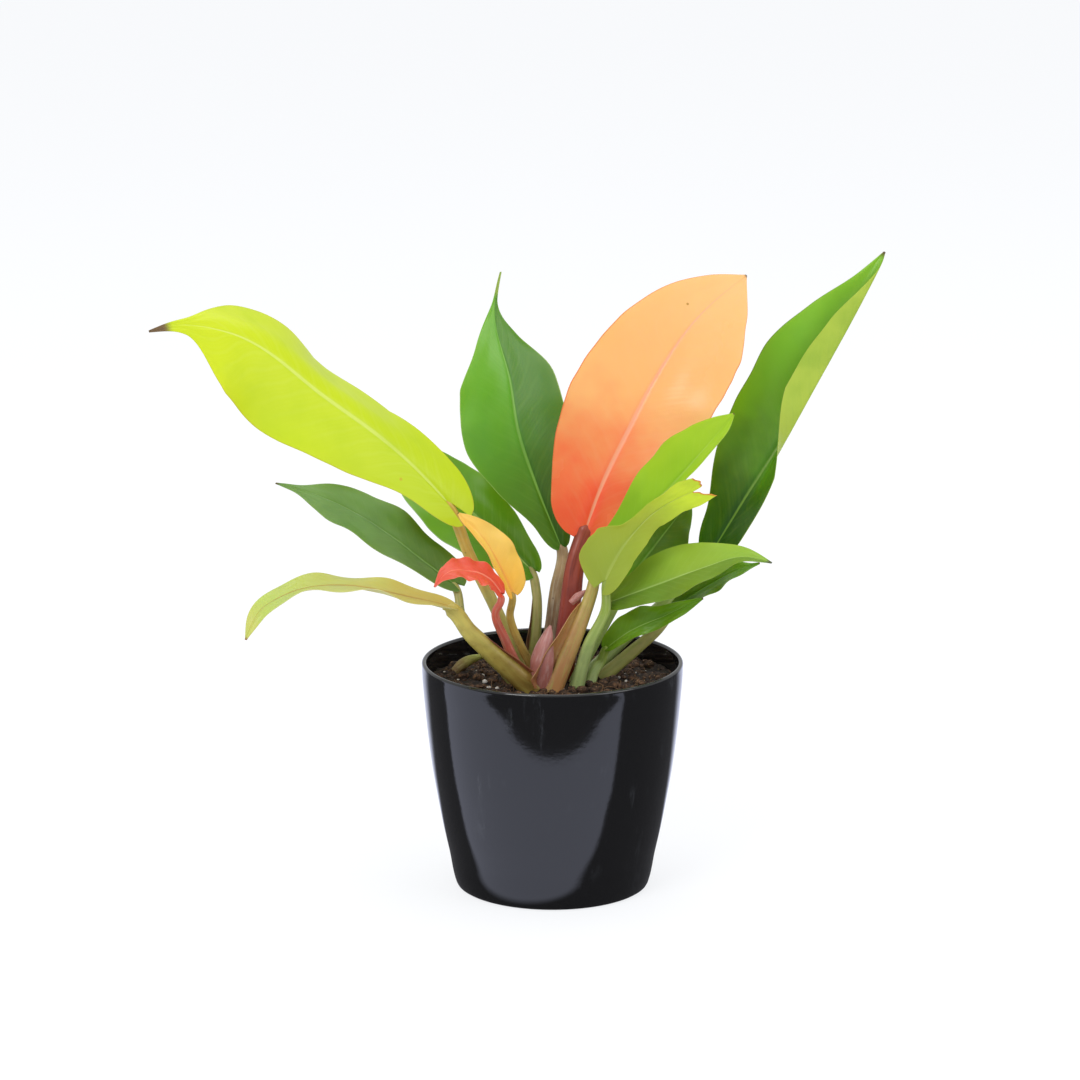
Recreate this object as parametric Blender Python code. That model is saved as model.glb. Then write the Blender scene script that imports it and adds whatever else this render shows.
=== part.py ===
"""Potted philodendron: a low rosette of fifteen leaves growing from one crown in a tapered nursery pot.

Every leaf is a stalk that rises from the crown and a blade that opens from the stalk's top end.
The origin is the centre of the pot's flat underside, +Z is up, and the plant's show side faces -Y.
Leaf and pot dimensions are written in millimetres and turned into metres where the meshes are made.
"""

from dataclasses import dataclass
from math import cos, pi, radians, sin

import bmesh
import bpy
import numpy as np

MM = 0.001

# Pot
POT_HEIGHT = 115.0
POT_RIM_RADIUS = 65.0
POT_WALL = 2.4
POT_FLOOR = 3.0
POT_PROFILE = ((47.0, 0.0), (48.3, 1.2), (51.3, 17.5), (54.5, 31.0), (57.5, 46.0),
               (60.0, 61.0), (62.0, 77.0), (63.8, 95.0), (64.8, 108.0))
POT_SIDES = 48
RIM_ROUNDING = 0.8
DRAIN_HOLES = 6
DRAIN_RADIUS = 2.5
DRAIN_RING_RADIUS = 30.0

# Potting mix
MIX_HEIGHT = 104.6
MIX_SWELL = 1.2
MIX_RINGS = 7
MIX_SIDES = 36
MIX_CLEARANCE = 0.15
MIX_LEVELS = (17.5, 31.0, 46.0, 61.0, 77.0, 95.0)
MIX_WAVE_PACE = (0.17, 0.15)
MIX_WAVE_START = (1.0, -0.6)
MIX_WAVE_RADIUS = 30.0

# Crown
CROWN_CENTRE = (-1.0, -3.0)
CROWN_RADIUS = 8.0
CROWN_RISE = 4.0

# Clearance between neighbouring pieces
GAP = 0.3

# Leaves
BLADE_THICKNESS = 1.1
BLADE_ROWS = 12
BLADE_COLUMNS = 3
BLADE_STATIONS = (0.0, 0.08, 0.25, 0.42, 0.58, 0.75, 0.9, 1.0)
BASE_WIDTH = 0.62
TIP_HALF_WIDTH = 0.7
LOBE_REACH = 0.25
BEND_SHARE = 0.35
BEND_STEPS = 10
LOBE_EASE = 1.3
STALK_SIDES = 8
STALK_ROWS = 9


@dataclass(frozen=True)
class Leaf:
    """One leaf, in millimetres and degrees.

    midrib: points from the blade's base to its tip. stalk: points from the crown to just under the blade.
    face: direction of the upper side at the base, the middle and the tip.
    left and right: half widths at the inner stations, seen on the upper side with the tip up.
    left_fold and right_fold: how far each half turns up about the midrib, evenly spaced from base to tip.
    """

    name: str
    colour: tuple
    midrib: tuple
    face: tuple
    left: tuple
    right: tuple
    left_fold: tuple
    right_fold: tuple
    lobe: float
    stalk: tuple
    stalk_colour: tuple
    stalk_base: tuple
    stalk_top: float


LEAVES = (
    Leaf(
        name="lime_leaf",
        colour=(0.62, 0.75, 0.02),
        midrib=((-52, -20, 201), (-74, -24, 225), (-110, -32, 255),
                (-155, -44, 289), (-180, -52, 294), (-192, -57, 292)),
        face=((0.2, -0.8, 0.5), (0.1, -0.75, 0.6), (0.1, -0.75, 0.6)),
        left=(9, 23, 30, 33, 30, 7),
        right=(15, 23, 27, 31, 25, 6),
        left_fold=(5, 0, 0),
        right_fold=(-15, -55, -55, -35, -30),
        lobe=15,
        stalk=((-14, 0, 106), (-27, -5, 140), (-41, -12, 172), (-51, -17, 196)),
        stalk_colour=(0.75, 0.6, 0.15),
        stalk_base=(2.6, 2.6),
        stalk_top=2.4,
    ),
    Leaf(
        name="dark_left_leaf",
        colour=(0.06, 0.18, 0.05),
        midrib=((-50, 16, 151), (-64, 22, 160), (-84, 32, 173),
                (-104, 42, 183), (-132, 54, 191), (-140, 58, 192)),
        face=((0.3, -0.6, 0.7), (0.2, -0.5, 0.8)),
        left=(8, 12, 15, 15, 10, 3),
        right=(12, 14, 16, 15, 10, 3),
        left_fold=(10, 10, 5),
        right_fold=(10, 10, 5),
        lobe=6,
        stalk=((-20, -8, 106), (-34, 0, 121), (-45, 9, 135), (-49, 16, 148)),
        stalk_colour=(0.3, 0.35, 0.1),
        stalk_base=(2.0, 2.0),
        stalk_top=1.8,
    ),
    Leaf(
        name="mid_left_leaf",
        colour=(0.14, 0.42, 0.05),
        midrib=((-12, 28, 156), (-31, 36, 173), (-52, 48, 190), (-77, 64, 205), (-89, 72, 211)),
        face=((0.3, -0.8, 0.4), (0.2, -0.8, 0.5)),
        left=(13, 21, 24, 22, 15, 6),
        right=(10, 16, 18, 17, 13, 6),
        left_fold=(10, 10, 10),
        right_fold=(10, 10, 10),
        lobe=6,
        stalk=((-11, 10, 106), (-8, 15, 128), (-8, 22, 144), (-12, 28, 156)),
        stalk_colour=(0.4, 0.35, 0.12),
        stalk_base=(2.4, 2.4),
        stalk_top=1.9,
    ),
    Leaf(
        name="upright_leaf",
        colour=(0.1, 0.4, 0.05),
        midrib=((4, 20, 169), (-8, 26, 198), (-17, 34, 224),
                (-21, 44, 247), (-29, 62, 281), (-26, 72, 298)),
        face=((0.0, -1.0, 0.2), (-0.1, -1.0, 0.1)),
        left=(8, 20, 28, 26, 12.5, 1),
        right=(8, 18, 24, 22, 9.5, 1),
        left_fold=(8, 8, 5),
        right_fold=(8, 8, 5),
        lobe=2,
        stalk=((-4, 3, 110), (-1, 7, 124), (2, 13, 148), (4, 21, 167)),
        stalk_colour=(0.25, 0.17, 0.1),
        stalk_base=(4.0, 3.2),
        stalk_top=2.4,
    ),
    Leaf(
        name="orange_leaf",
        colour=(0.9, 0.33, 0.14),
        midrib=((17, 5, 182), (25, 6, 204), (37, 9, 229), (49, 14, 252), (72, 24, 284), (96, 34, 303)),
        face=((-0.1, -1.0, 0.2), (0.0, -1.0, 0.3)),
        left=(22, 32, 36, 33, 25, 12),
        right=(14, 30, 34, 34, 31, 18),
        left_fold=(8, 8, 5),
        right_fold=(8, 8, 5),
        lobe=7,
        stalk=((5, -3, 110), (8, -1, 136), (12, 4, 166), (17, 9, 180)),
        stalk_colour=(0.3, 0.05, 0.04),
        stalk_base=(4.6, 3.8),
        stalk_top=2.8,
    ),
    Leaf(
        name="folded_leaf",
        colour=(0.22, 0.5, 0.06),
        midrib=((25, -9, 173), (45, -16, 194), (64, -26, 217), (87, -42, 249)),
        face=((-0.5, -0.8, 0.3), (-0.3, -0.8, 0.3)),
        left=(8, 13, 18, 18, 14, 7),
        right=(8, 13, 17, 17, 12, 6),
        left_fold=(0, 0, 0),
        right_fold=(60, 75, 60),
        lobe=5,
        stalk=((1, -21, 107), (12, -17, 134), (19, -12, 152), (24, -8, 171)),
        stalk_colour=(0.5, 0.4, 0.12),
        stalk_base=(4.0, 3.0),
        stalk_top=1.9,
    ),
    Leaf(
        name="torn_leaf",
        colour=(0.35, 0.5, 0.08),
        midrib=((26, -24, 162), (34, -32, 180), (49, -42, 200), (71, -54, 215)),
        face=((-0.6, -0.7, -0.2), (-0.4, -0.7, -0.4), (-0.3, -0.7, -0.6)),
        left=(15, 13, 7, 5, 6, 8),
        right=(6, 8, 8, 7, 8, 9),
        left_fold=(0, 0, 0),
        right_fold=(10, 10, 0),
        lobe=5,
        stalk=((12, -15, 106), (18, -18, 128), (26, -19, 146), (28, -21, 157)),
        stalk_colour=(0.5, 0.6, 0.15),
        stalk_base=(3.0, 3.0),
        stalk_top=1.8,
    ),
    Leaf(
        name="tall_right_leaf",
        colour=(0.16, 0.45, 0.06),
        midrib=((82, 28, 167), (99, 34, 194), (112, 40, 213),
                (136, 52, 253), (151, 60, 279), (167, 68, 309)),
        face=((-0.2, -0.9, 0.4), (-0.2, -1.0, 0.2)),
        left=(13, 26, 31, 31, 22, 8),
        right=(12, 17, 17, 17, 13, 5),
        left_fold=(5, 5, 8),
        right_fold=(15, 60, 145, 150, 145),
        lobe=8,
        stalk=((19, 8, 107), (42, 14, 128), (64, 21, 147), (80, 29, 165)),
        stalk_colour=(0.35, 0.45, 0.12),
        stalk_base=(2.8, 2.8),
        stalk_top=2.2,
    ),
    Leaf(
        name="back_leaf",
        colour=(0.08, 0.28, 0.04),
        midrib=((38, 10, 154), (50, 14, 169), (69, 24, 191)),
        face=((-0.3, -0.8, 0.4), (-0.3, -0.8, 0.4)),
        left=(8, 14, 16, 15, 10, 5),
        right=(8, 14, 16, 15, 10, 5),
        left_fold=(10, 10, 10),
        right_fold=(10, 10, 10),
        lobe=4,
        stalk=((12, 1, 106), (22, 4, 124), (31, 8, 140), (37, 12, 151)),
        stalk_colour=(0.3, 0.4, 0.1),
        stalk_base=(2.2, 2.2),
        stalk_top=1.7,
    ),
    Leaf(
        name="arched_leaf",
        colour=(0.3, 0.48, 0.1),
        midrib=((29, -15, 149), (52, -28, 161), (74, -42, 173), (93, -54, 181), (105, -62, 180)),
        face=((0.0, -0.9, 0.5), (0.0, -0.8, 0.6)),
        left=(8, 14, 16, 13, 8, 3),
        right=(6, 8, 9, 7, 4, 2),
        left_fold=(0, 0, 0),
        right_fold=(0, -10, 0),
        lobe=4,
        stalk=((11, -7, 106), (17, -8, 120), (23, -10, 134), (28, -13, 147)),
        stalk_colour=(0.5, 0.6, 0.2),
        stalk_base=(2.2, 2.2),
        stalk_top=1.7,
    ),
    Leaf(
        name="low_right_leaf",
        colour=(0.07, 0.26, 0.05),
        midrib=((60, 4, 141), (75, 0, 152), (90, -6, 162), (102, -10, 167)),
        face=((0.0, -0.6, 0.8), (0.0, -0.6, 0.8)),
        left=(4, 7, 7, 7, 5, 2),
        right=(4, 7, 7, 7, 5, 2),
        left_fold=(10, 10, 10),
        right_fold=(10, 10, 10),
        lobe=2,
        stalk=((27, 3, 107.5), (41, 5, 119), (52, 6, 129), (59, 6, 137)),
        stalk_colour=(0.45, 0.42, 0.15),
        stalk_base=(3.0, 3.0),
        stalk_top=2.2,
    ),
    Leaf(
        name="short_right_leaf",
        colour=(0.15, 0.42, 0.06),
        midrib=((27, -6, 123), (38, -9, 132), (55, -13, 141), (74, -17, 151)),
        face=((-0.2, -0.9, 0.4), (-0.2, -0.9, 0.4)),
        left=(6, 9, 9, 6, 4, 2),
        right=(3, 4, 5, 5, 4, 2),
        left_fold=(5, 5, 5),
        right_fold=(10, 10, 10),
        lobe=2,
        stalk=((19, -7, 106), (21, -5, 111), (24, -3, 115), (27, -2, 119)),
        stalk_colour=(0.45, 0.6, 0.25),
        stalk_base=(2.4, 2.4),
        stalk_top=1.8,
    ),
    Leaf(
        name="amber_leaf",
        colour=(0.95, 0.5, 0.15),
        midrib=((-20, -24, 156), (-26, -26, 170), (-34, -30, 185), (-46, -34, 198)),
        face=((0.3, -0.9, 0.2), (0.3, -0.9, 0.2)),
        left=(6, 9, 9, 8, 6, 3),
        right=(9, 11, 11, 9, 6, 3),
        left_fold=(70, 70, 70),
        right_fold=(0, 0, 0),
        lobe=3,
        stalk=((-8, -7, 110), (-16, -12, 126), (-21, -17, 142), (-20, -21, 154)),
        stalk_colour=(0.75, 0.55, 0.15),
        stalk_base=(2.0, 2.0),
        stalk_top=1.5,
    ),
    Leaf(
        name="red_leaf",
        colour=(0.75, 0.1, 0.06),
        midrib=((-25, -41, 160), (-31, -44, 168), (-41, -50, 173), (-51, -58, 174), (-57, -62, 168)),
        face=((0.1, -0.5, 0.9), (0.1, -0.5, 0.9)),
        left=(5, 9, 10, 9, 6, 2),
        right=(5, 8, 9, 8, 5, 2),
        left_fold=(10, 10, 10),
        right_fold=(10, 10, 10),
        lobe=2,
        stalk=((-14, -12, 106), (-23, -20, 130), (-28, -31, 147), (-26, -38, 157)),
        stalk_colour=(0.75, 0.12, 0.08),
        stalk_base=(2.4, 2.2),
        stalk_top=1.5,
    ),
    Leaf(
        name="drooping_leaf",
        colour=(0.6, 0.65, 0.2),
        midrib=((-50, -28, 150), (-74, -38, 158), (-100, -50, 166),
                (-126, -64, 166), (-141, -72, 158), (-147, -78, 146)),
        face=((0.1, -0.3, 1.0), (0.0, -0.3, 1.0)),
        left=(7, 11, 11, 9, 9, 5),
        right=(7, 9, 9, 8, 8, 4),
        left_fold=(20, 20, 20),
        right_fold=(20, 10, 10),
        lobe=4,
        stalk=((-12, -20, 107.5), (-26, -23, 121), (-41, -27, 137), (-49, -30, 146)),
        stalk_colour=(0.55, 0.55, 0.12),
        stalk_base=(3.6, 3.4),
        stalk_top=2.3,
    ),
)


@dataclass(frozen=True)
class Scale:
    """A small pointed piece of the crown: an oval swept along a route, in millimetres."""

    name: str
    colour: tuple
    route: tuple
    start: tuple
    end: tuple


SCALES = (
    Scale("pink_scale", (0.6, 0.25, 0.25), ((-3, -13, 109), (-2, -14, 122), (0, -14, 136)),
          (4.0, 2.4), (1.2, 0.8)),
    Scale("dried_sheath", (0.3, 0.15, 0.06), ((1, 8, 106), (3, 6, 122), (6, 5, 144)),
          (1.4, 1.0), (0.7, 0.5)),
    Scale("sheath_tip", (0.7, 0.35, 0.3), ((9, -11, 147), (13, -10, 150), (17, -9, 152)),
          (1.2, 1.2), (0.6, 0.6)),
    Scale("old_leaf_base", (0.4, 0.42, 0.12), ((-46, 4, 109), (-42, 7, 112), (-34, 9, 115)),
          (4.0, 3.0), (2.4, 1.6)),
)
SCALE_ROWS = 5
SCALE_WIDE = (0.3, 1.0, 0.0)


def unit(vectors):
    """Scale one vector, or each row of an array, to length 1."""
    return vectors / np.linalg.norm(vectors, axis=-1, keepdims=True)


def smooth_path(points, count):
    """Return count evenly spaced points on a smooth curve through the given points."""
    knots = np.asarray(points, float)
    spans = np.linalg.norm(np.diff(knots, axis=0), axis=1)
    slopes = np.zeros_like(knots)
    chords = np.diff(knots, axis=0) / spans[:, None]
    weights = spans[1:, None] + spans[:-1, None]
    slopes[1:-1] = (chords[:-1] * spans[1:, None] + chords[1:] * spans[:-1, None]) / weights
    slopes[0] = 1.5 * chords[0] - 0.5 * slopes[1]
    slopes[-1] = 1.5 * chords[-1] - 0.5 * slopes[-2]
    pieces = []
    for index, span in enumerate(spans):
        s = np.linspace(0.0, 1.0, 24, endpoint=index == len(spans) - 1)[:, None]
        pieces.append((2 * s**3 - 3 * s**2 + 1) * knots[index]
                      + (s**3 - 2 * s**2 + s) * span * slopes[index]
                      + (3 * s**2 - 2 * s**3) * knots[index + 1]
                      + (s**3 - s**2) * span * slopes[index + 1])
    fine = np.concatenate(pieces)
    walked = np.concatenate([[0.0], np.cumsum(np.linalg.norm(np.diff(fine, axis=0), axis=1))])
    wanted = np.linspace(0.0, walked[-1], count)
    return np.stack([np.interp(wanted, walked, fine[:, axis]) for axis in range(3)], 1)


def smooth_values(stations, values, wanted):
    """Interpolate values given at stations without overshooting between them."""
    stations = np.asarray(stations, float)
    values = np.asarray(values, float)
    rises = np.diff(values) / np.diff(stations)
    slopes = np.zeros_like(values)
    slopes[0] = rises[0]
    slopes[-1] = rises[-1]
    same_way = rises[:-1] * rises[1:] > 0
    inner = np.zeros(len(rises) - 1)
    inner[same_way] = 2 * rises[:-1][same_way] * rises[1:][same_way] / (rises[:-1] + rises[1:])[same_way]
    slopes[1:-1] = inner
    index = np.clip(np.searchsorted(stations, wanted, side="right") - 1, 0, len(rises) - 1)
    step = stations[index + 1] - stations[index]
    s = (wanted - stations[index]) / step
    return ((2 * s**3 - 3 * s**2 + 1) * values[index] + (s**3 - 2 * s**2 + s) * step * slopes[index]
            + (3 * s**2 - 2 * s**3) * values[index + 1] + (s**3 - s**2) * step * slopes[index + 1])


def midrib_frames(leaf, count=81):
    """Return the midrib's points, directions and upper-side normals, and its length."""
    points = smooth_path(leaf.midrib, count)
    along = unit(np.gradient(points, axis=0))
    thirds = np.linspace(0.0, 1.0, len(leaf.face))
    steps = np.linspace(0.0, 1.0, count)
    faces = np.stack([np.interp(steps, thirds, np.array(leaf.face)[:, axis]) for axis in range(3)], 1)
    faces = unit(faces)
    normals = unit(faces - (faces * along).sum(1, keepdims=True) * along)
    length = float(np.linalg.norm(np.diff(points, axis=0), axis=1).sum())
    return points, along, normals, length


def half_widths(leaf, side, t):
    """Return one side's half width at each share t of the midrib, base to tip."""
    inner = leaf.left if side < 0 else leaf.right
    values = (BASE_WIDTH * inner[0], *inner, TIP_HALF_WIDTH)
    return smooth_values(BLADE_STATIONS, values, t)


def blade_points(leaf, rows, columns):
    """Return the blade's middle surface as a grid, with the left margin first in each row."""
    spine, along, normals, length = midrib_frames(leaf)
    t = np.linspace(0.0, 1.0, rows + 1)
    grid = np.zeros((rows + 1, 2 * columns + 1, 3))
    for column in range(-columns, columns + 1):
        side = -1.0 if column < 0 else 1.0
        share = abs(column) / columns
        width = half_widths(leaf, side, t)
        reach = np.clip(1.0 - t / LOBE_REACH, 0.0, 1.0)
        x = t * length - leaf.lobe * reach**2 * share**LOBE_EASE
        place = np.clip(x / length, 0.0, 1.0) * (len(spine) - 1)
        low = np.clip(place.astype(int), 0, len(spine) - 2)
        part = (place - low)[:, None]
        origin = spine[low] * (1 - part) + spine[low + 1] * part
        forward = unit(along[low] * (1 - part) + along[low + 1] * part)
        up = unit(normals[low] * (1 - part) + normals[low + 1] * part)
        origin = origin + forward * np.minimum(x, 0.0)[:, None]
        folds = leaf.left_fold if side < 0 else leaf.right_fold
        turn = np.radians(np.interp(t, np.linspace(0.0, 1.0, len(folds)), folds))
        bend = BEND_SHARE * max(leaf.left + leaf.right)
        across = np.zeros_like(t)
        lift = np.zeros_like(t)
        for step in range(BEND_STEPS):
            walked = (step + 0.5) / BEND_STEPS * width * share
            angle = turn * np.minimum(walked / bend, 1.0)
            across += np.cos(angle) * width * share / BEND_STEPS
            lift += np.sin(angle) * width * share / BEND_STEPS
        sideways = np.cross(forward, up)
        grid[:, column + columns] = origin + sideways * (side * across)[:, None] + up * lift[:, None]
    return grid


def grid_normals(grid):
    """Return the upper-side normal at each point of a blade grid."""
    down_rows = np.gradient(grid, axis=0)
    over_columns = np.gradient(grid, axis=1)
    return unit(np.cross(over_columns, down_rows))


def solid_from_grid(grid, thickness):
    """Close a grid into a thin solid. Returns vertices and faces with the faces pointing out."""
    rows, columns = grid.shape[:2]
    offset = grid_normals(grid) * thickness / 2
    top = (grid + offset).reshape(-1, 3)
    under = (grid - offset).reshape(-1, 3)
    count = rows * columns
    faces = []
    for row in range(rows - 1):
        for column in range(columns - 1):
            a = row * columns + column
            faces.append((a, a + 1, a + columns + 1, a + columns))
            faces.append((count + a, count + a + columns, count + a + columns + 1, count + a + 1))
    border = list(range(columns))
    border += [row * columns + columns - 1 for row in range(1, rows)]
    border += [(rows - 1) * columns + column for column in range(columns - 2, -1, -1)]
    border += [row * columns for row in range(rows - 2, 0, -1)]
    for here, there in zip(border, border[1:] + border[:1]):
        faces.append((here, count + here, count + there, there))
    return np.concatenate([top, under]), faces


def stalk_points(leaf):
    """Return the stalk's route. It ends under the blade, clear of the blade's base by the gap."""
    spine, _, normals, _ = midrib_frames(leaf)
    end = spine[0] - normals[0] * (leaf.stalk_top + BLADE_THICKNESS + GAP)
    route = list(leaf.stalk[:-1]) + [tuple(end)]
    return smooth_path(route, STALK_ROWS)


def tube(route, start_radii, end_radii, wide):
    """Sweep an oval along a route. start_radii and end_radii are (wide, thin) half sizes."""
    along = unit(np.gradient(route, axis=0))
    flat = unit(np.cross(along, np.array(wide, float)))
    across = np.cross(flat, along)
    angles = np.linspace(0.0, 2 * pi, STALK_SIDES, endpoint=False)
    vertices = []
    for row, point in enumerate(route):
        share = row / (len(route) - 1)
        broad = start_radii[0] * (1 - share) + end_radii[0] * share
        thin = start_radii[1] * (1 - share) + end_radii[1] * share
        for angle in angles:
            vertices.append(point + across[row] * broad * cos(angle) + flat[row] * thin * sin(angle))
    faces = []
    for row in range(len(route) - 1):
        for side in range(STALK_SIDES):
            a = row * STALK_SIDES + side
            b = row * STALK_SIDES + (side + 1) % STALK_SIDES
            faces.append((a, b, b + STALK_SIDES, a + STALK_SIDES))
    faces.append(tuple(range(STALK_SIDES - 1, -1, -1)))
    last = (len(route) - 1) * STALK_SIDES
    faces.append(tuple(range(last, last + STALK_SIDES)))
    return np.array(vertices), faces


def turned(profile, sides):
    """Turn an (r, z) outline about the Z axis. The outline starts and ends on the axis."""
    vertices = [(0.0, 0.0, profile[0][1])]
    ring_starts = []
    for radius, height in profile[1:-1]:
        ring_starts.append(len(vertices))
        for side in range(sides):
            angle = 2 * pi * side / sides
            vertices.append((radius * cos(angle), radius * sin(angle), height))
    top = len(vertices)
    vertices.append((0.0, 0.0, profile[-1][1]))
    faces = []
    for side in range(sides):
        following = (side + 1) % sides
        faces.append((0, ring_starts[0] + following, ring_starts[0] + side))
        faces.append((top, ring_starts[-1] + side, ring_starts[-1] + following))
        for low, high in zip(ring_starts, ring_starts[1:]):
            faces.append((low + side, low + following, high + following, high + side))
    return np.array(vertices), faces


def make_material(name, colour, roughness):
    """Return a plain material of one colour."""
    material = bpy.data.materials.new(name)
    material.use_nodes = True
    shader = material.node_tree.nodes["Principled BSDF"]
    shader.inputs["Base Color"].default_value = (*colour, 1.0)
    shader.inputs["Roughness"].default_value = roughness
    shader.inputs["Metallic"].default_value = 0.0
    return material


def add_piece(name, vertices, faces, colour, roughness):
    """Turn millimetre vertices and faces into a named, smooth-shaded object with its own material."""
    mesh = bpy.data.meshes.new(name)
    mesh.from_pydata([tuple(vertex * MM) for vertex in np.asarray(vertices, float)], [], faces)
    mesh.materials.append(make_material(name, colour, roughness))
    model = bmesh.new()
    model.from_mesh(mesh)
    bmesh.ops.recalc_face_normals(model, faces=model.faces[:])
    model.to_mesh(mesh)
    model.free()
    mesh.shade_smooth()
    mesh.set_sharp_from_angle(angle=radians(40.0))
    piece = bpy.data.objects.new(name, mesh)
    bpy.context.scene.collection.objects.link(piece)
    return piece


def inner_radius(height):
    """Return the radius of the pot's inner wall at a height."""
    radii, heights = zip(*POT_PROFILE)
    return float(np.interp(height, heights, radii)) - POT_WALL


def build_pot():
    """Build the pot: a tapered cup with a rounded rim, a flat underside and drain holes."""
    profile = [(0.0, 0.0), *POT_PROFILE]
    profile.append((POT_RIM_RADIUS, POT_HEIGHT - RIM_ROUNDING))
    profile.append((POT_RIM_RADIUS - RIM_ROUNDING, POT_HEIGHT))
    profile.append((POT_RIM_RADIUS - POT_WALL + RIM_ROUNDING / 2, POT_HEIGHT))
    profile.append((POT_RIM_RADIUS - POT_WALL, POT_HEIGHT - RIM_ROUNDING))
    for _, height in reversed(POT_PROFILE[3:]):
        profile.append((inner_radius(height), height))
    profile.append((inner_radius(POT_FLOOR), POT_FLOOR))
    profile.append((0.0, POT_FLOOR))
    pot = add_piece("pot", *turned(profile, POT_SIDES), (0.012, 0.012, 0.014), 0.15)
    drill = bmesh.new()
    for hole in range(DRAIN_HOLES):
        angle = 2 * pi * (hole + 0.5) / DRAIN_HOLES
        made = bmesh.ops.create_cone(drill, cap_ends=True, segments=12, radius1=DRAIN_RADIUS * MM,
                                     radius2=DRAIN_RADIUS * MM, depth=3 * POT_FLOOR * MM)
        shift = (DRAIN_RING_RADIUS * cos(angle) * MM, DRAIN_RING_RADIUS * sin(angle) * MM, 0.0)
        bmesh.ops.translate(drill, verts=made["verts"], vec=shift)
    drill_mesh = bpy.data.meshes.new("drain_drill")
    drill.to_mesh(drill_mesh)
    drill.free()
    cutter = bpy.data.objects.new("drain_drill", drill_mesh)
    bpy.context.scene.collection.objects.link(cutter)
    cutter.hide_render = True
    cutter.display_type = "WIRE"
    cut = pot.modifiers.new("drain_holes", "BOOLEAN")
    cut.operation = "DIFFERENCE"
    cut.solver = "EXACT"
    cut.object = cutter


def build_potting_mix():
    """Build the potting mix: it fills the pot to just under the rim, with a gently uneven top."""
    low = POT_FLOOR + GAP
    profile = [(0.0, low)]
    profile += [(inner_radius(height) - GAP - MIX_CLEARANCE, height) for height in (low, *MIX_LEVELS)]
    edge = inner_radius(MIX_HEIGHT) - GAP - MIX_CLEARANCE
    profile += [(edge * (MIX_RINGS - ring) / MIX_RINGS, MIX_HEIGHT) for ring in range(MIX_RINGS)]
    profile.append((0.0, MIX_HEIGHT))
    vertices, faces = turned(profile, MIX_SIDES)
    for vertex in vertices:
        if vertex[2] > MIX_HEIGHT - 0.1:
            waves = sin(vertex[0] * MIX_WAVE_PACE[0] + MIX_WAVE_START[0])
            waves *= cos(vertex[1] * MIX_WAVE_PACE[1] + MIX_WAVE_START[1])
            radius = np.hypot(vertex[0], vertex[1])
            vertex[2] += MIX_SWELL * 0.5 * waves * min(radius / MIX_WAVE_RADIUS, 1.0)
    add_piece("potting_mix", vertices, faces, (0.05, 0.03, 0.02), 0.95)


def build_crown():
    """Build the crown: the short stem's top, a low dome on the potting mix under the stalks."""
    base = MIX_HEIGHT + 0.5
    profile = [(0.0, base), (CROWN_RADIUS, base)]
    for step in (1, 2):
        angle = pi / 2 * step / 3
        profile.append((CROWN_RADIUS * cos(angle), base + CROWN_RISE * sin(angle)))
    profile.append((0.0, base + CROWN_RISE))
    vertices, faces = turned(profile, 16)
    vertices += np.array((*CROWN_CENTRE, 0.0))
    add_piece("crown", vertices, faces, (0.25, 0.12, 0.06), 0.8)


def build_leaf(leaf):
    """Build one leaf's stalk and blade."""
    route = stalk_points(leaf)
    wide, thin = leaf.stalk_base
    vertices, faces = tube(route, (wide, thin), (leaf.stalk_top, leaf.stalk_top), (0.0, 1.0, 0.0))
    add_piece(leaf.name + "_stalk", vertices, faces, leaf.stalk_colour, 0.45)
    grid = blade_points(leaf, BLADE_ROWS, BLADE_COLUMNS)
    add_piece(leaf.name + "_blade", *solid_from_grid(grid, BLADE_THICKNESS), leaf.colour, 0.35)


def build_small_parts():
    """Build the young leaf's scale, the dried sheath, the sheath tip and the old leaf's stump."""
    for scale in SCALES:
        path = smooth_path(scale.route, SCALE_ROWS)
        add_piece(scale.name, *tube(path, scale.start, scale.end, SCALE_WIDE), scale.colour, 0.6)


def main():
    """Clear the scene and build the whole plant."""
    for old in list(bpy.data.objects):
        bpy.data.objects.remove(old, do_unlink=True)
    build_pot()
    build_potting_mix()
    build_crown()
    for leaf in LEAVES:
        build_leaf(leaf)
    build_small_parts()


if __name__ == "__main__":
    main()
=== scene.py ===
"""Potted philodendron: fine surfaces, finishes, floor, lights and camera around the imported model."""

import logging
from dataclasses import dataclass, field
from enum import Enum
from math import cos, pi, radians, sin

import bmesh
import bpy
import numpy as np
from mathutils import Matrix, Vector


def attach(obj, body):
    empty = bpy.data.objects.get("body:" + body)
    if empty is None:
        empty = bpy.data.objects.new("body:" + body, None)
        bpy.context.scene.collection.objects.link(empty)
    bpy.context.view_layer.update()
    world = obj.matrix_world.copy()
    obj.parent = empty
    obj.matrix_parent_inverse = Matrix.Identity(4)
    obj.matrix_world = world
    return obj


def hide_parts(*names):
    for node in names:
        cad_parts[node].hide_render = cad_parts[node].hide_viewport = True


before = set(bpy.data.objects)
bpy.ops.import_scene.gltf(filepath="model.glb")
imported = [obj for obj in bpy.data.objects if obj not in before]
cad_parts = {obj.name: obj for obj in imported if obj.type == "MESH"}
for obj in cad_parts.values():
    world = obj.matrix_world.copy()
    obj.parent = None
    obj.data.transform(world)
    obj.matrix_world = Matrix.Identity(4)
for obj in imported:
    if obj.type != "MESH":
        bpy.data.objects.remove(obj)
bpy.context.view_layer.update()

MM = 0.001
SPAN_SAMPLES = 24
RIPPLE_LAYERS = 5
BEND_STEPS = 12
WING_ROWS = 40
WING_COLUMNS = 9
SCALE_ROWS = 36
SCALE_COLUMNS = 15
POT_WALL_STEPS = 60
POT_INNER_STEPS = 30
RIM_STEPS = 8
FIBRE_STEPS = 10
FIBRE_SIDES = 5
BODY = "root"

Point = tuple[float, float, float]
Colour = tuple[float, float, float]

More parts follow.
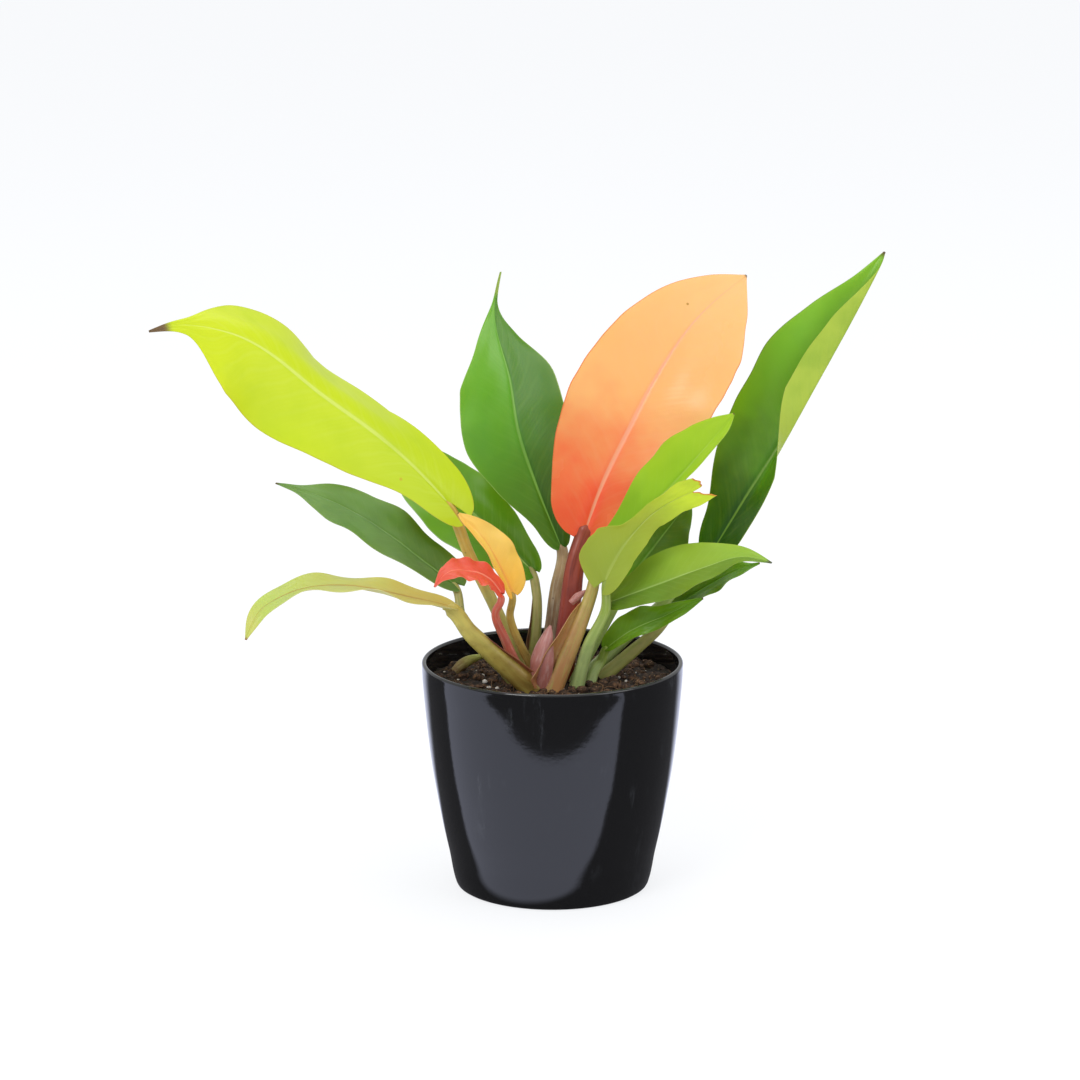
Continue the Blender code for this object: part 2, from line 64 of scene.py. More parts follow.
log = logging.getLogger("philodendron")


# ---------------------------------------------------------------- curves and grids


def unit(vectors: np.ndarray) -> np.ndarray:
    """Scale one vector, or each row of an array, to length 1."""
    return vectors / np.maximum(np.linalg.norm(vectors, axis=-1, keepdims=True), 1e-12)


def smooth_path(points: tuple[Point, ...], count: int) -> np.ndarray:
    """Run a smooth curve through points.

    Args:
        points: at least three places, in millimetres.
        count: how many evenly spaced points to return.

    Returns:
        The curve's points, one per row.
    """
    knots = np.asarray(points, float)
    spans = np.linalg.norm(np.diff(knots, axis=0), axis=1)
    chords = np.diff(knots, axis=0) / spans[:, None]
    slopes = np.zeros_like(knots)
    weights = spans[1:, None] + spans[:-1, None]
    slopes[1:-1] = (chords[:-1] * spans[1:, None] + chords[1:] * spans[:-1, None]) / weights
    slopes[0] = 1.5 * chords[0] - 0.5 * slopes[1]
    slopes[-1] = 1.5 * chords[-1] - 0.5 * slopes[-2]
    pieces = []
    for index, span in enumerate(spans):
        s = np.linspace(0.0, 1.0, SPAN_SAMPLES, endpoint=index == len(spans) - 1)[:, None]
        pieces.append((2 * s**3 - 3 * s**2 + 1) * knots[index]
                      + (s**3 - 2 * s**2 + s) * span * slopes[index]
                      + (3 * s**2 - 2 * s**3) * knots[index + 1]
                      + (s**3 - s**2) * span * slopes[index + 1])
    fine = np.concatenate(pieces)
    walked = np.concatenate([[0.0], np.cumsum(np.linalg.norm(np.diff(fine, axis=0), axis=1))])
    wanted = np.linspace(0.0, walked[-1], count)
    return np.stack([np.interp(wanted, walked, fine[:, axis]) for axis in range(3)], 1)


def smooth_values(stations: tuple[float, ...], values: tuple[float, ...], wanted: np.ndarray) -> np.ndarray:
    """Interpolate values given at stations without overshooting between them.

    Args:
        stations: rising places of the values.
        values: one value per station.
        wanted: places to read.

    Returns:
        One value per wanted place.
    """
    places = np.asarray(stations, float)
    heights = np.asarray(values, float)
    rises = np.diff(heights) / np.diff(places)
    slopes = np.zeros_like(heights)
    slopes[0] = rises[0]
    slopes[-1] = rises[-1]
    same_way = rises[:-1] * rises[1:] > 0
    inner = np.zeros(len(rises) - 1)
    inner[same_way] = 2 * rises[:-1][same_way] * rises[1:][same_way] / (rises[:-1] + rises[1:])[same_way]
    slopes[1:-1] = inner
    index = np.clip(np.searchsorted(places, wanted, side="right") - 1, 0, len(rises) - 1)
    step = places[index + 1] - places[index]
    s = (wanted - places[index]) / step
    return ((2 * s**3 - 3 * s**2 + 1) * heights[index] + (s**3 - 2 * s**2 + s) * step * slopes[index]
            + (3 * s**2 - 2 * s**3) * heights[index + 1] + (s**3 - s**2) * step * slopes[index + 1])


def ripple(x: np.ndarray, y: np.ndarray, seed: float) -> np.ndarray:
    """Return a smooth, repeatable, uneven height between about -1 and 1 at each (x, y).

    Args:
        x: first coordinate of each place.
        y: second coordinate.
        seed: which pattern.

    Returns:
        One height per place.
    """
    total = np.zeros(np.broadcast(x, y).shape)
    for step in range(RIPPLE_LAYERS):
        turn = seed * 1.7 + step * 2.399
        pace = 1.0 + 0.62 * step
        total = total + np.sin(pace * (x * cos(turn) + y * sin(turn)) + seed * 3.1 + step
                               * 1.3) / (1.0 + 0.5 * step)
    return total / 2.6


# ---------------------------------------------------------------- meshes


@dataclass
class MeshParts:
    """Vertices in millimetres, faces, and named values per vertex for one piece."""

    vertices: list = field(default_factory=list)
    faces: list = field(default_factory=list)
    place: list = field(default_factory=list)

    def add(self, vertices: np.ndarray, faces: list, place: np.ndarray) -> None:
        """Add one closed body.

        Args:
            vertices: its points, in millimetres.
            faces: its faces, counted from its own first point.
            place: three values per point, which the finish reads.
        """
        start = len(self.vertices)
        self.vertices.extend(tuple(point) for point in vertices)
        self.faces.extend(tuple(start + corner for corner in face) for face in faces)
        self.place.extend(tuple(values) for values in place)

    def build(self, name: str, material: bpy.types.Material, slot: str, *replaced: str) -> bpy.types.Object:
        """Make the object, dress it and hand it to the frame.

        Args:
            name: the piece's name.
            material: its finish.
            slot: the record's material slot; not used.
            replaced: the model's nodes that the piece stands for.

        Returns:
            The new object.
        """
        mesh = bpy.data.meshes.new(name)
        mesh.from_pydata([tuple(value * MM for value in point) for point in self.vertices], [], self.faces)
        store = mesh.attributes.new("place", "FLOAT_VECTOR", "POINT")
        store.data.foreach_set("vector", np.asarray(self.place, np.float32).ravel())
        model = bmesh.new()
        model.from_mesh(mesh)
        bmesh.ops.recalc_face_normals(model, faces=model.faces[:])
        model.to_mesh(mesh)
        model.free()
        mesh.shade_smooth()
        mesh.set_sharp_from_angle(angle=radians(60.0))
        mesh.materials.append(material)
        piece = bpy.data.objects.new(name, mesh)
        bpy.context.scene.collection.objects.link(piece)
        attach(piece, BODY)
        if replaced:
            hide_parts(*replaced)
        log.info("%s: %d faces", name, len(mesh.polygons))
        return piece


def ring_faces(rows: int, sides: int) -> list:
    """Return the faces of a tube of rings, with both ends closed by one face each.

    Args:
        rows: how many rings.
        sides: how many points each ring has.

    Returns:
        The faces, as point numbers.
    """
    faces = []
    for row in range(rows - 1):
        for side in range(sides):
            a = row * sides + side
            b = row * sides + (side + 1) % sides
            faces.append((a, b, b + sides, a + sides))
    faces.append(tuple(range(sides - 1, -1, -1)))
    last = (rows - 1) * sides
    faces.append(tuple(range(last, last + sides)))
    return faces


def sheet_faces(rows: int, columns: int) -> list:
    """Return the faces of a thin closed sheet: an upper grid, a lower grid and the rim between them.

    Args:
        rows: rows of each grid.
        columns: columns of each grid.

    Returns:
        The faces, as point numbers.
    """
    count = rows * columns
    faces = []
    for row in range(rows - 1):
        for column in range(columns - 1):
            a = row * columns + column
            faces.append((a, a + 1, a + columns + 1, a + columns))
            faces.append((count + a, count + a + columns, count + a + columns + 1, count + a + 1))
    border = list(range(columns))
    border += [row * columns + columns - 1 for row in range(1, rows)]
    border += [(rows - 1) * columns + column for column in range(columns - 2, -1, -1)]
    border += [row * columns for row in range(rows - 2, 0, -1)]
    for here, there in zip(border, border[1:] + border[:1]):
        faces.append((here, count + here, count + there, there))
    return faces


def frames_along(route: np.ndarray, wide: Point) -> tuple[np.ndarray, np.ndarray]:
    """Return the two cross directions at each point of a route, the second one nearest to wide's side.

    Args:
        route: the route, one point per row.
        wide: the direction that the first one follows.

    Returns:
        The two directions, one row per point.
    """
    along = unit(np.gradient(route, axis=0))
    flat = unit(np.cross(along, np.array(wide, float)))
    return unit(np.cross(flat, along)), flat


# ---------------------------------------------------------------- shader building


class Nodes:
    """A short way to write one node tree."""

    def __init__(self, tree: bpy.types.NodeTree) -> None:
        """Keep the tree to add to."""
        self.tree = tree

    def add(self, kind: str, **settings: object) -> bpy.types.Node:
        """Add a node of a kind and set its own properties.

        Args:
            kind: the node's type.
            settings: the node's own properties.

        Returns:
            The new node.
        """
        node = self.tree.nodes.new(kind)
        for name, value in settings.items():
            setattr(node, name, value)
        return node

    def join(self, source: object, target: bpy.types.NodeSocket) -> None:
        """Link a socket to a target, or set the target's value.

        Args:
            source: a socket or a plain value.
            target: the input to feed.
        """
        if isinstance(source, bpy.types.NodeSocket):
            self.tree.links.new(source, target)
        else:
            target.default_value = source

    def math(self, operation: str, first: object, second: object = 0.0,
             clamp: bool = False) -> bpy.types.NodeSocket:
        """Add a Math node and return its result.

        Args:
            operation: the Math node's operation.
            first: first value or socket.
            second: second value or socket.
            clamp: whether the result stays from 0 to 1.

        Returns:
            The result.
        """
        node = self.add("ShaderNodeMath", operation=operation, use_clamp=clamp)
        self.join(first, node.inputs[0])
        self.join(second, node.inputs[1])
        return node.outputs[0]

    def mix(self, share: object, first: object, second: object, blend: str = "MIX") -> bpy.types.NodeSocket:
        """Mix two colours and return the result.

        Args:
            share: how much of the second colour shows.
            first: first colour or socket.
            second: second colour or socket.
            blend: how they mix.

        Returns:
            The mixed colour.
        """
        node = self.add("ShaderNodeMix", data_type="RGBA", blend_type=blend, clamp_factor=True)
        self.join(share, node.inputs["Factor"])
        for value, socket in ((first, node.inputs[6]), (second, node.inputs[7])):
            self.join(value if isinstance(value, bpy.types.NodeSocket) else (*value, 1.0), socket)
        return node.outputs[2]

    def step(self, value: object, low: object, high: object) -> bpy.types.NodeSocket:
        """Rise smoothly from 0 at low to 1 at high.

        Args:
            value: the value to read.
            low: where the rise starts.
            high: where it ends.

        Returns:
            The risen value.
        """
        node = self.add("ShaderNodeMapRange", interpolation_type="SMOOTHSTEP")
        self.join(value, node.inputs["Value"])
        self.join(low, node.inputs["From Min"])
        self.join(high, node.inputs["From Max"])
        return node.outputs["Result"]

    def noise(self, where: object, scale: object, detail: float = 3.0,
              rough: float = 0.55) -> bpy.types.NodeSocket:
        """Add a noise texture and return its value.

        Args:
            where: the place to read.
            scale: how fine the noise is.
            detail: how many finer layers it has.
            rough: how strong the finer layers are.

        Returns:
            The value.
        """
        node = self.add("ShaderNodeTexNoise")
        self.join(where, node.inputs["Vector"])
        self.join(scale, node.inputs["Scale"])
        node.inputs["Detail"].default_value = detail
        node.inputs["Roughness"].default_value = rough
        return node.outputs["Fac"]

    def split(self, vector: bpy.types.NodeSocket) -> tuple[bpy.types.NodeSocket, ...]:
        """Return a vector's three parts.

        Args:
            vector: the vector to split.

        Returns:
            Its three parts.
        """
        node = self.add("ShaderNodeSeparateXYZ")
        self.join(vector, node.inputs[0])
        return tuple(node.outputs)

    def stretch(self, where: bpy.types.NodeSocket, scale: Point,
                shift: object = (0.0, 0.0, 0.0)) -> bpy.types.NodeSocket:
        """Scale a place by axis and shift it.

        Args:
            where: the place.
            scale: the scale on each axis.
            shift: the shift.

        Returns:
            The new place.
        """
        node = self.add("ShaderNodeMapping")
        self.join(where, node.inputs["Vector"])
        node.inputs["Scale"].default_value = scale
        self.join(shift, node.inputs["Location"])
        return node.outputs[0]

    def group(self, tree: bpy.types.NodeTree, **values: object) -> bpy.types.Node:
        """Place a node group and fill its named inputs, with spaces written as underscores.

        Args:
            tree: the node group.
            values: a value or a socket for each named input.

        Returns:
            The group node.
        """
        node = self.add("ShaderNodeGroup", node_tree=tree)
        for name, value in values.items():
            socket = node.inputs[name.replace("_", " ")]
            if isinstance(value, tuple) and len(value) == 3 and socket.type == "RGBA":
                value = (*value, 1.0)
            self.join(value, socket)
        return node


def new_group(name: str, inputs: dict[str, str], outputs: dict[str, str]) -> tuple[Nodes, dict, dict]:
    """Start a shader node group.

    Args:
        name: the group's name.
        inputs: socket kind by input name.
        outputs: socket kind by output name.

    Returns:
        The tree writer, the inner input sockets and the inner output sockets, by name.
    """
    tree = bpy.data.node_groups.new(name, "ShaderNodeTree")
    for title, kind in inputs.items():
        tree.interface.new_socket(name=title, in_out="INPUT", socket_type="NodeSocket" + kind)
    for title, kind in outputs.items():
        tree.interface.new_socket(name=title, in_out="OUTPUT", socket_type="NodeSocket" + kind)
    nodes = Nodes(tree)
    entry = nodes.add("NodeGroupInput")
    leave = nodes.add("NodeGroupOutput")
    return nodes, {s.name: s for s in entry.outputs if s.name}, {s.name: s for s in leave.inputs if s.name}


class Effects:
    """The shared effects, each built once as a shader node group."""

    def __init__(self) -> None:
        """Build every group."""
        self.leaf = self._leaf()
        self.mottle = self._mottle()
        self.flecks = self._flecks()
        self.streaks = self._streaks()
        self.dust = self._dust()

    @staticmethod
    def _leaf() -> bpy.types.NodeTree:
        """Build the leaf pattern: colour from base to tip, painted shade darkening the right half, pale
        midrib, side veins and a margin line.

        Returns:
            The node group.
        """
        nodes, given, result = new_group(
            "leaf_pattern",
            {"Base Colour": "Color", "Middle Colour": "Color", "Tip Colour": "Color", "Rib Colour": "Color",
             "Margin Colour": "Color", "Under Colour": "Color", "Rib Width": "Float",
             "Vein Strength": "Float",
             "Vein Count": "Float", "Under Share": "Float", "Right Shade": "Float"},
            {"Color": "Color", "Height": "Float", "Under Mask": "Float"})
        place = nodes.add("ShaderNodeAttribute", attribute_name="place")
        along, across, under = nodes.split(place.outputs["Vector"])
        side = nodes.math("ABSOLUTE", across)
        geometry = nodes.add("ShaderNodeNewGeometry")
        wander = nodes.noise(geometry.outputs["Position"], 60.0, 2.0)
        drift = nodes.math("MULTIPLY", nodes.math("SUBTRACT", wander, 0.5), 0.22)
        moved = nodes.math("ADD", along, drift)
        lower = nodes.mix(nodes.step(moved, 0.06, 0.52), given["Base Colour"], given["Middle Colour"])
        body = nodes.mix(nodes.step(moved, 0.5, 1.0), lower, given["Tip Colour"])
        # Painted shade: the right half's colour is multiplied darker, standing in for the half that turns
        # away from the light.
        shade = nodes.math("MULTIPLY", nodes.step(across, -0.02, 0.05), given["Right Shade"])
        painted_shade_tint = nodes.mix(1.0, body, (0.3, 0.4, 0.25), "MULTIPLY")
        body = nodes.mix(shade, body, painted_shade_tint)
        sweep = nodes.math("MULTIPLY", nodes.math("POWER", side, 0.85), 0.17)
        phase = nodes.math("MULTIPLY", nodes.math("SUBTRACT", along, sweep), given["Vein Count"])
        phase = nodes.math("ADD", phase, nodes.math("MULTIPLY", wander, 0.9))
        saw = nodes.math("ABSOLUTE", nodes.math("SUBTRACT", nodes.math("FRACT", phase), 0.5))
        line = nodes.math("SUBTRACT", 1.0, nodes.step(saw, 0.0, 0.16))
        fine_phase = nodes.math("FRACT", nodes.math("MULTIPLY", phase, 4.0))
        fine_saw = nodes.math("ABSOLUTE", nodes.math("SUBTRACT", fine_phase, 0.5))
        fine = nodes.math("SUBTRACT", 1.0, nodes.step(fine_saw, 0.05, 0.45))
        fade = nodes.math("SUBTRACT", 1.0, nodes.step(side, 0.35, 0.98))
        vein = nodes.math("MULTIPLY", nodes.math("ADD", line, nodes.math("MULTIPLY", fine, 0.35)), fade)
        vein_share = nodes.math("MULTIPLY", vein, given["Vein Strength"])
        veined = nodes.mix(vein_share, body, given["Rib Colour"])
        taper = nodes.math("MULTIPLY", given["Rib Width"], nodes.math("SUBTRACT", 1.15, along))
        rib = nodes.math("SUBTRACT", 1.0, nodes.step(side, nodes.math("MULTIPLY", taper, 0.35), taper))
        ribbed = nodes.mix(nodes.math("MULTIPLY", rib, 0.85), veined, given["Rib Colour"])
        margin = nodes.step(side, 0.975, 0.998)
        edged = nodes.mix(nodes.math("MULTIPLY", margin, 0.8), ribbed, given["Margin Colour"])
        below = nodes.mix(nodes.math("MULTIPLY", rib, 0.6), given["Under Colour"], given["Rib Colour"])
        below = nodes.mix(nodes.math("MULTIPLY", vein_share, 1.4), below, given["Rib Colour"])
        below = nodes.mix(given["Under Share"], below, edged)
        nodes.join(nodes.mix(under, edged, below), result["Color"])
        relief = nodes.math("ADD", nodes.math("MULTIPLY", vein, -0.3), nodes.math("MULTIPLY", rib, -0.5))
        nodes.join(relief, result["Height"])
        nodes.join(under, result["Under Mask"])
        return nodes.tree

    @staticmethod
    def _mottle() -> bpy.types.NodeTree:
        """Build soft cloudy patches of a second colour, with a fine grain of their own.

        Returns:
            The node group.
        """
        nodes, given, result = new_group(
            "soft_mottle",
            {"Color": "Color", "Patch Colour": "Color", "Scale": "Float", "Amount": "Float",
             "Seed": "Vector"},
            {"Color": "Color", "Mask": "Float", "Height": "Float"})
        geometry = nodes.add("ShaderNodeNewGeometry")
        moved = nodes.add("ShaderNodeVectorMath", operation="ADD")
        nodes.join(geometry.outputs["Position"], moved.inputs[0])
        nodes.join(given["Seed"], moved.inputs[1])
        broad = nodes.noise(moved.outputs[0], given["Scale"], 4.0)
        mask = nodes.step(broad, 0.42, 0.72)
        nodes.join(nodes.mix(nodes.math("MULTIPLY", mask, given["Amount"]), given["Color"],
                             given["Patch Colour"]),
                   result["Color"])
        nodes.join(mask, result["Mask"])
        nodes.join(nodes.noise(moved.outputs[0], 1800.0, 2.0), result["Height"])
        return nodes.tree

    @staticmethod
    def _flecks() -> bpy.types.NodeTree:
        """Build sparse small spots, each with its own size.

        Returns:
            The node group.
        """
        nodes, given, result = new_group(
            "sparse_flecks",
            {"Scale": "Float", "Size": "Float", "Share": "Float", "Seed": "Vector"}, {"Mask": "Float"})
        geometry = nodes.add("ShaderNodeNewGeometry")
        moved = nodes.add("ShaderNodeVectorMath", operation="ADD")
        nodes.join(geometry.outputs["Position"], moved.inputs[0])
        nodes.join(given["Seed"], moved.inputs[1])
        cells = nodes.add("ShaderNodeTexVoronoi", feature="F1")
        nodes.join(moved.outputs[0], cells.inputs["Vector"])
        nodes.join(given["Scale"], cells.inputs["Scale"])
        chance = nodes.add("ShaderNodeSeparateColor")
        nodes.join(cells.outputs["Color"], chance.inputs[0])
        kept = nodes.math("LESS_THAN", chance.outputs[0], given["Share"])
        reach = nodes.math("MULTIPLY", given["Size"], nodes.math("ADD", chance.outputs[1], 0.4))
        spot = nodes.math("SUBTRACT", 1.0,
                          nodes.step(cells.outputs["Distance"], nodes.math("MULTIPLY", reach, 0.5), reach))
        nodes.join(nodes.math("MULTIPLY", spot, kept), result["Mask"])
        return nodes.tree

    @staticmethod
    def _streaks() -> bpy.types.NodeTree:
        """Build fine lines that run along a stalk, and its colour change from foot to top.

        Returns:
            The node group.
        """
        nodes, given, result = new_group(
            "stalk_streaks",
            {"Foot Colour": "Color", "Top Colour": "Color", "Streak Colour": "Color", "Amount": "Float",
             "Lines": "Float"},
            {"Color": "Color", "Mask": "Float", "Height": "Float"})
        place = nodes.add("ShaderNodeAttribute", attribute_name="place")
        along, around, _ = nodes.split(place.outputs["Vector"])
        joined = nodes.add("ShaderNodeCombineXYZ")
        nodes.join(nodes.math("MULTIPLY", along, 2.2), joined.inputs[0])
        nodes.join(nodes.math("MULTIPLY", nodes.math("COSINE", around), given["Lines"]), joined.inputs[1])
        nodes.join(nodes.math("MULTIPLY", nodes.math("SINE", around), given["Lines"]), joined.inputs[2])
        lines = nodes.noise(joined.outputs[0], 2.0, 5.0, 0.65)
        geometry = nodes.add("ShaderNodeNewGeometry")
        patches = nodes.noise(geometry.outputs["Position"], 140.0, 3.0)
        drift = nodes.math("ADD", along, nodes.math("MULTIPLY", nodes.math("SUBTRACT", patches, 0.5), 0.5))
        body = nodes.mix(nodes.step(drift, 0.1, 0.9), given["Foot Colour"], given["Top Colour"])
        mask = nodes.step(lines, 0.45, 0.66)
        share = nodes.math("MULTIPLY", mask, given["Amount"])
        nodes.join(nodes.mix(share, body, given["Streak Colour"]), result["Color"])
        nodes.join(mask, result["Mask"])
        nodes.join(lines, result["Height"])
        return nodes.tree

    @staticmethod
    def _dust() -> bpy.types.NodeTree:
        """Build dried water marks and fine dust for a glossy wall.

        Returns:
            The node group.
        """
        nodes, given, result = new_group(
            "water_marks",
            {"Color": "Color", "Mark Colour": "Color", "Amount": "Float"},
            {"Color": "Color", "Mask": "Float", "Height": "Float"})
        geometry = nodes.add("ShaderNodeNewGeometry")
        runs = nodes.noise(nodes.stretch(geometry.outputs["Position"], (1.0, 1.0, 0.22)), 130.0, 6.0, 0.7)
        where = nodes.step(nodes.noise(geometry.outputs["Position"], 38.0, 3.0), 0.52, 0.7)
        mask = nodes.math("MULTIPLY", nodes.step(runs, 0.54, 0.78), where)
        nodes.join(nodes.mix(nodes.math("MULTIPLY", mask, given["Amount"]), given["Color"],
                             given["Mark Colour"]),
                   result["Color"])
        nodes.join(mask, result["Mask"])
        nodes.join(nodes.noise(geometry.outputs["Position"], 420.0, 2.0), result["Height"])
        return nodes.tree


def start_material(name: str) -> tuple[Nodes, bpy.types.Material, bpy.types.Node]:
    """Make a material and return its tree writer, itself and its Principled shader.

    Args:
        name: the material's name.

    Returns:
        The tree writer, the material and its Principled shader.
    """
    material = bpy.data.materials.new(name)
    material.use_nodes = True
    return Nodes(material.node_tree), material, material.node_tree.nodes["Principled BSDF"]


def bump(nodes: Nodes, shader: bpy.types.Node, height: bpy.types.NodeSocket, strength: float,
         depth: float) -> None:
    """Drive a shader's normal from a height.

    Args:
        nodes: the material's tree writer.
        shader: the Principled shader.
        height: the height's socket.
        strength: how strongly the bump shows.
        depth: the height's full size, in metres.
    """
    node = nodes.add("ShaderNodeBump")
    node.inputs["Strength"].default_value = strength
    node.inputs["Distance"].default_value = depth
    nodes.join(height, node.inputs["Height"])
    nodes.join(node.outputs["Normal"], shader.inputs["Normal"])


# ---------------------------------------------------------------- finishes


@dataclass(frozen=True)
class BladeFinish:
    """A leaf blade's waxy finish."""

    base: Colour
    middle: Colour
    tip: Colour
    rib: Colour
    margin: Colour
    under: Colour
    patch: Colour
    patch_amount: float = 0.35
    patch_scale: float = 28.0
    rib_width: float = 0.06
    vein_strength: float = 0.08
    # Painted shade: how strongly the blade's right half is darkened.
    right_painted_shade: float = 0.0
    vein_count: float = 17.0
    spot: Colour = (0.35, 0.18, 0.02)
    spot_share: float = 0.012
    spot_size: float = 0.1
    tip_dry: Colour = (0.12, 0.07, 0.03)
    dry_from: float = 0.985
    roughness: float = 0.34
    translucence: float = 0.2
    seed: float = 0.0

    def material(self, name: str, effects: Effects) -> bpy.types.Material:
        """Build the finish.

        Args:
            name: the material's name.
            effects: the shared node groups.

        Returns:
            The material.
        """
        nodes, material, shader = start_material(name)
        pattern = nodes.group(
            effects.leaf, Base_Colour=self.base, Middle_Colour=self.middle, Tip_Colour=self.tip,
            Rib_Colour=self.rib, Margin_Colour=self.margin, Under_Colour=self.under, Rib_Width=self.rib_width,
            Vein_Strength=self.vein_strength, Vein_Count=self.vein_count, Under_Share=0.15,
            Right_Shade=self.right_painted_shade)
        mottle = nodes.group(effects.mottle, Color=pattern.outputs["Color"], Patch_Colour=self.patch,
                             Scale=self.patch_scale, Amount=self.patch_amount,
                             Seed=(self.seed, self.seed * 0.7, -self.seed))
        colour = mottle.outputs["Color"]
        if self.spot_share > 0.0:
            flecks = nodes.group(effects.flecks, Scale=150.0, Size=self.spot_size, Share=self.spot_share,
                                 Seed=(self.seed * 2.0, -self.seed, self.seed))
            colour = nodes.mix(nodes.math("MULTIPLY", flecks.outputs["Mask"], 0.8), colour, self.spot)
        place = nodes.add("ShaderNodeAttribute", attribute_name="place")
        along, _, _ = nodes.split(place.outputs["Vector"])
        dry = nodes.step(along, self.dry_from, min(self.dry_from + 0.03, 1.0))
        nodes.join(nodes.mix(dry, colour, self.tip_dry), shader.inputs["Base Color"])
        gloss = nodes.math("ADD", self.roughness, nodes.math("MULTIPLY", mottle.outputs["Mask"], 0.1))
        gloss = nodes.math("ADD", gloss, nodes.math("MULTIPLY", pattern.outputs["Under Mask"], 0.18))
        nodes.join(nodes.math("ADD", gloss, nodes.math("MULTIPLY", dry, 0.3)), shader.inputs["Roughness"])
        height = nodes.math("ADD", pattern.outputs["Height"],
                            nodes.math("MULTIPLY", mottle.outputs["Height"], 0.12))
        bump(nodes, shader, height, 0.18, 0.0004)
        shader.inputs["Subsurface Weight"].default_value = self.translucence
        shader.inputs["Subsurface Radius"].default_value = (1.0, 0.9, 0.35)
        shader.inputs["Subsurface Scale"].default_value = 0.0025
        shader.inputs["Specular IOR Level"].default_value = 0.32
        return material


@dataclass(frozen=True)
class StalkFinish:
    """A stalk's smooth finish with fine lengthwise streaks."""

    foot: Colour
    top: Colour
    streak: Colour
    amount: float = 0.45
    lines: float = 1.2
    roughness: float = 0.4
    relief: float = 0.25

    def material(self, name: str, effects: Effects) -> bpy.types.Material:
        """Build the finish under a name from the shared node groups and return it.

        Args:
            name: the material's name.
            effects: the shared node groups.

        Returns:
            The material.
        """
        nodes, material, shader = start_material(name)
        streaks = nodes.group(effects.streaks, Foot_Colour=self.foot, Top_Colour=self.top,
                              Streak_Colour=self.streak, Amount=self.amount, Lines=self.lines)
        mottle = nodes.group(effects.mottle, Color=streaks.outputs["Color"],
                             Patch_Colour=tuple(0.55 * part for part in self.foot), Scale=160.0, Amount=0.3,
                             Seed=(0.1, 0.2, 0.3))
        flecks = nodes.group(effects.flecks, Scale=420.0, Size=0.2, Share=0.12, Seed=(0.3, 0.1, 0.0))
        colour = nodes.mix(nodes.math("MULTIPLY", flecks.outputs["Mask"], 0.5), mottle.outputs["Color"],
                           tuple(0.3 * part for part in self.foot))
        nodes.join(colour, shader.inputs["Base Color"])
        rough = nodes.math("ADD", self.roughness, nodes.math("MULTIPLY", streaks.outputs["Mask"], 0.15))
        nodes.join(rough, shader.inputs["Roughness"])
        bump(nodes, shader, streaks.outputs["Height"], self.relief, 0.0008)
        shader.inputs["Subsurface Weight"].default_value = 0.12
        shader.inputs["Subsurface Radius"].default_value = (1.0, 0.7, 0.3)
        shader.inputs["Subsurface Scale"].default_value = 0.002
        return material


@dataclass(frozen=True)
class PotFinish:
    """Glossy moulded plastic with faint water marks."""

    colour: Colour = (0.006, 0.006, 0.0065)
    mark: Colour = (0.13, 0.14, 0.16)
    roughness: float = 0.085

    def material(self, name: str, effects: Effects) -> bpy.types.Material:
        """Build the finish under a name from the shared node groups and return it.

        Args:
            name: the material's name.
            effects: the shared node groups.

        Returns:
            The material.
        """
        nodes, material, shader = start_material(name)
        marks = nodes.group(effects.dust, Color=self.colour, Mark_Colour=self.mark, Amount=0.5)
        nodes.join(marks.outputs["Color"], shader.inputs["Base Color"])
        rough = nodes.math("ADD", self.roughness, nodes.math("MULTIPLY", marks.outputs["Mask"], 0.16))
        nodes.join(rough, shader.inputs["Roughness"])
        bump(nodes, shader, marks.outputs["Height"], 0.06, 0.0004)
        shader.inputs["IOR"].default_value = 1.6
        return material


@dataclass(frozen=True)
class CrumbFinish:
    """A crumbly finish for potting mix, bark, fibres and perlite."""

    dark: Colour
    light: Colour
    fleck: Colour
    scale: float = 300.0
    fleck_share: float = 0.25
    roughness: float = 0.9
    depth: float = 0.0012

    def material(self, name: str, effects: Effects) -> bpy.types.Material:
        """Build the finish under a name from the shared node groups and return it.

        Args:
            name: the material's name.
            effects: the shared node groups.

        Returns:
            The material.
        """
        nodes, material, shader = start_material(name)
        mottle = nodes.group(effects.mottle, Color=self.dark, Patch_Colour=self.light, Scale=self.scale,
                             Amount=0.85, Seed=(0.0, 0.4, 0.2))
        flecks = nodes.group(effects.flecks, Scale=self.scale * 3.0, Size=0.4, Share=self.fleck_share,
                             Seed=(0.2, 0.0, 0.1))
        nodes.join(nodes.mix(flecks.outputs["Mask"], mottle.outputs["Color"], self.fleck),
                   shader.inputs["Base Color"])
        rough = nodes.math("SUBTRACT", self.roughness, nodes.math("MULTIPLY", mottle.outputs["Mask"], 0.12))
        nodes.join(rough, shader.inputs["Roughness"])
        geometry = nodes.add("ShaderNodeNewGeometry")
        height = nodes.noise(geometry.outputs["Position"], self.scale * 2.0, 6.0, 0.7)
        bump(nodes, shader, height, 0.8, self.depth)
        return material


# ---------------------------------------------------------------- leaves


class Side(Enum):
    """The two halves of a blade, seen on its upper side with the tip up."""

    LEFT = -1
    RIGHT = 1


class End(Enum):
    """How a blade ends."""

    POINTED = "pointed"
    TORN = "torn"


@dataclass(frozen=True)
class Wing:
    """A sheath wing along a stalk's lower stretch: a thin flange on one side."""

    side: int
    start: float
    end: float
    width: float
    curl: float
    finish: StalkFinish


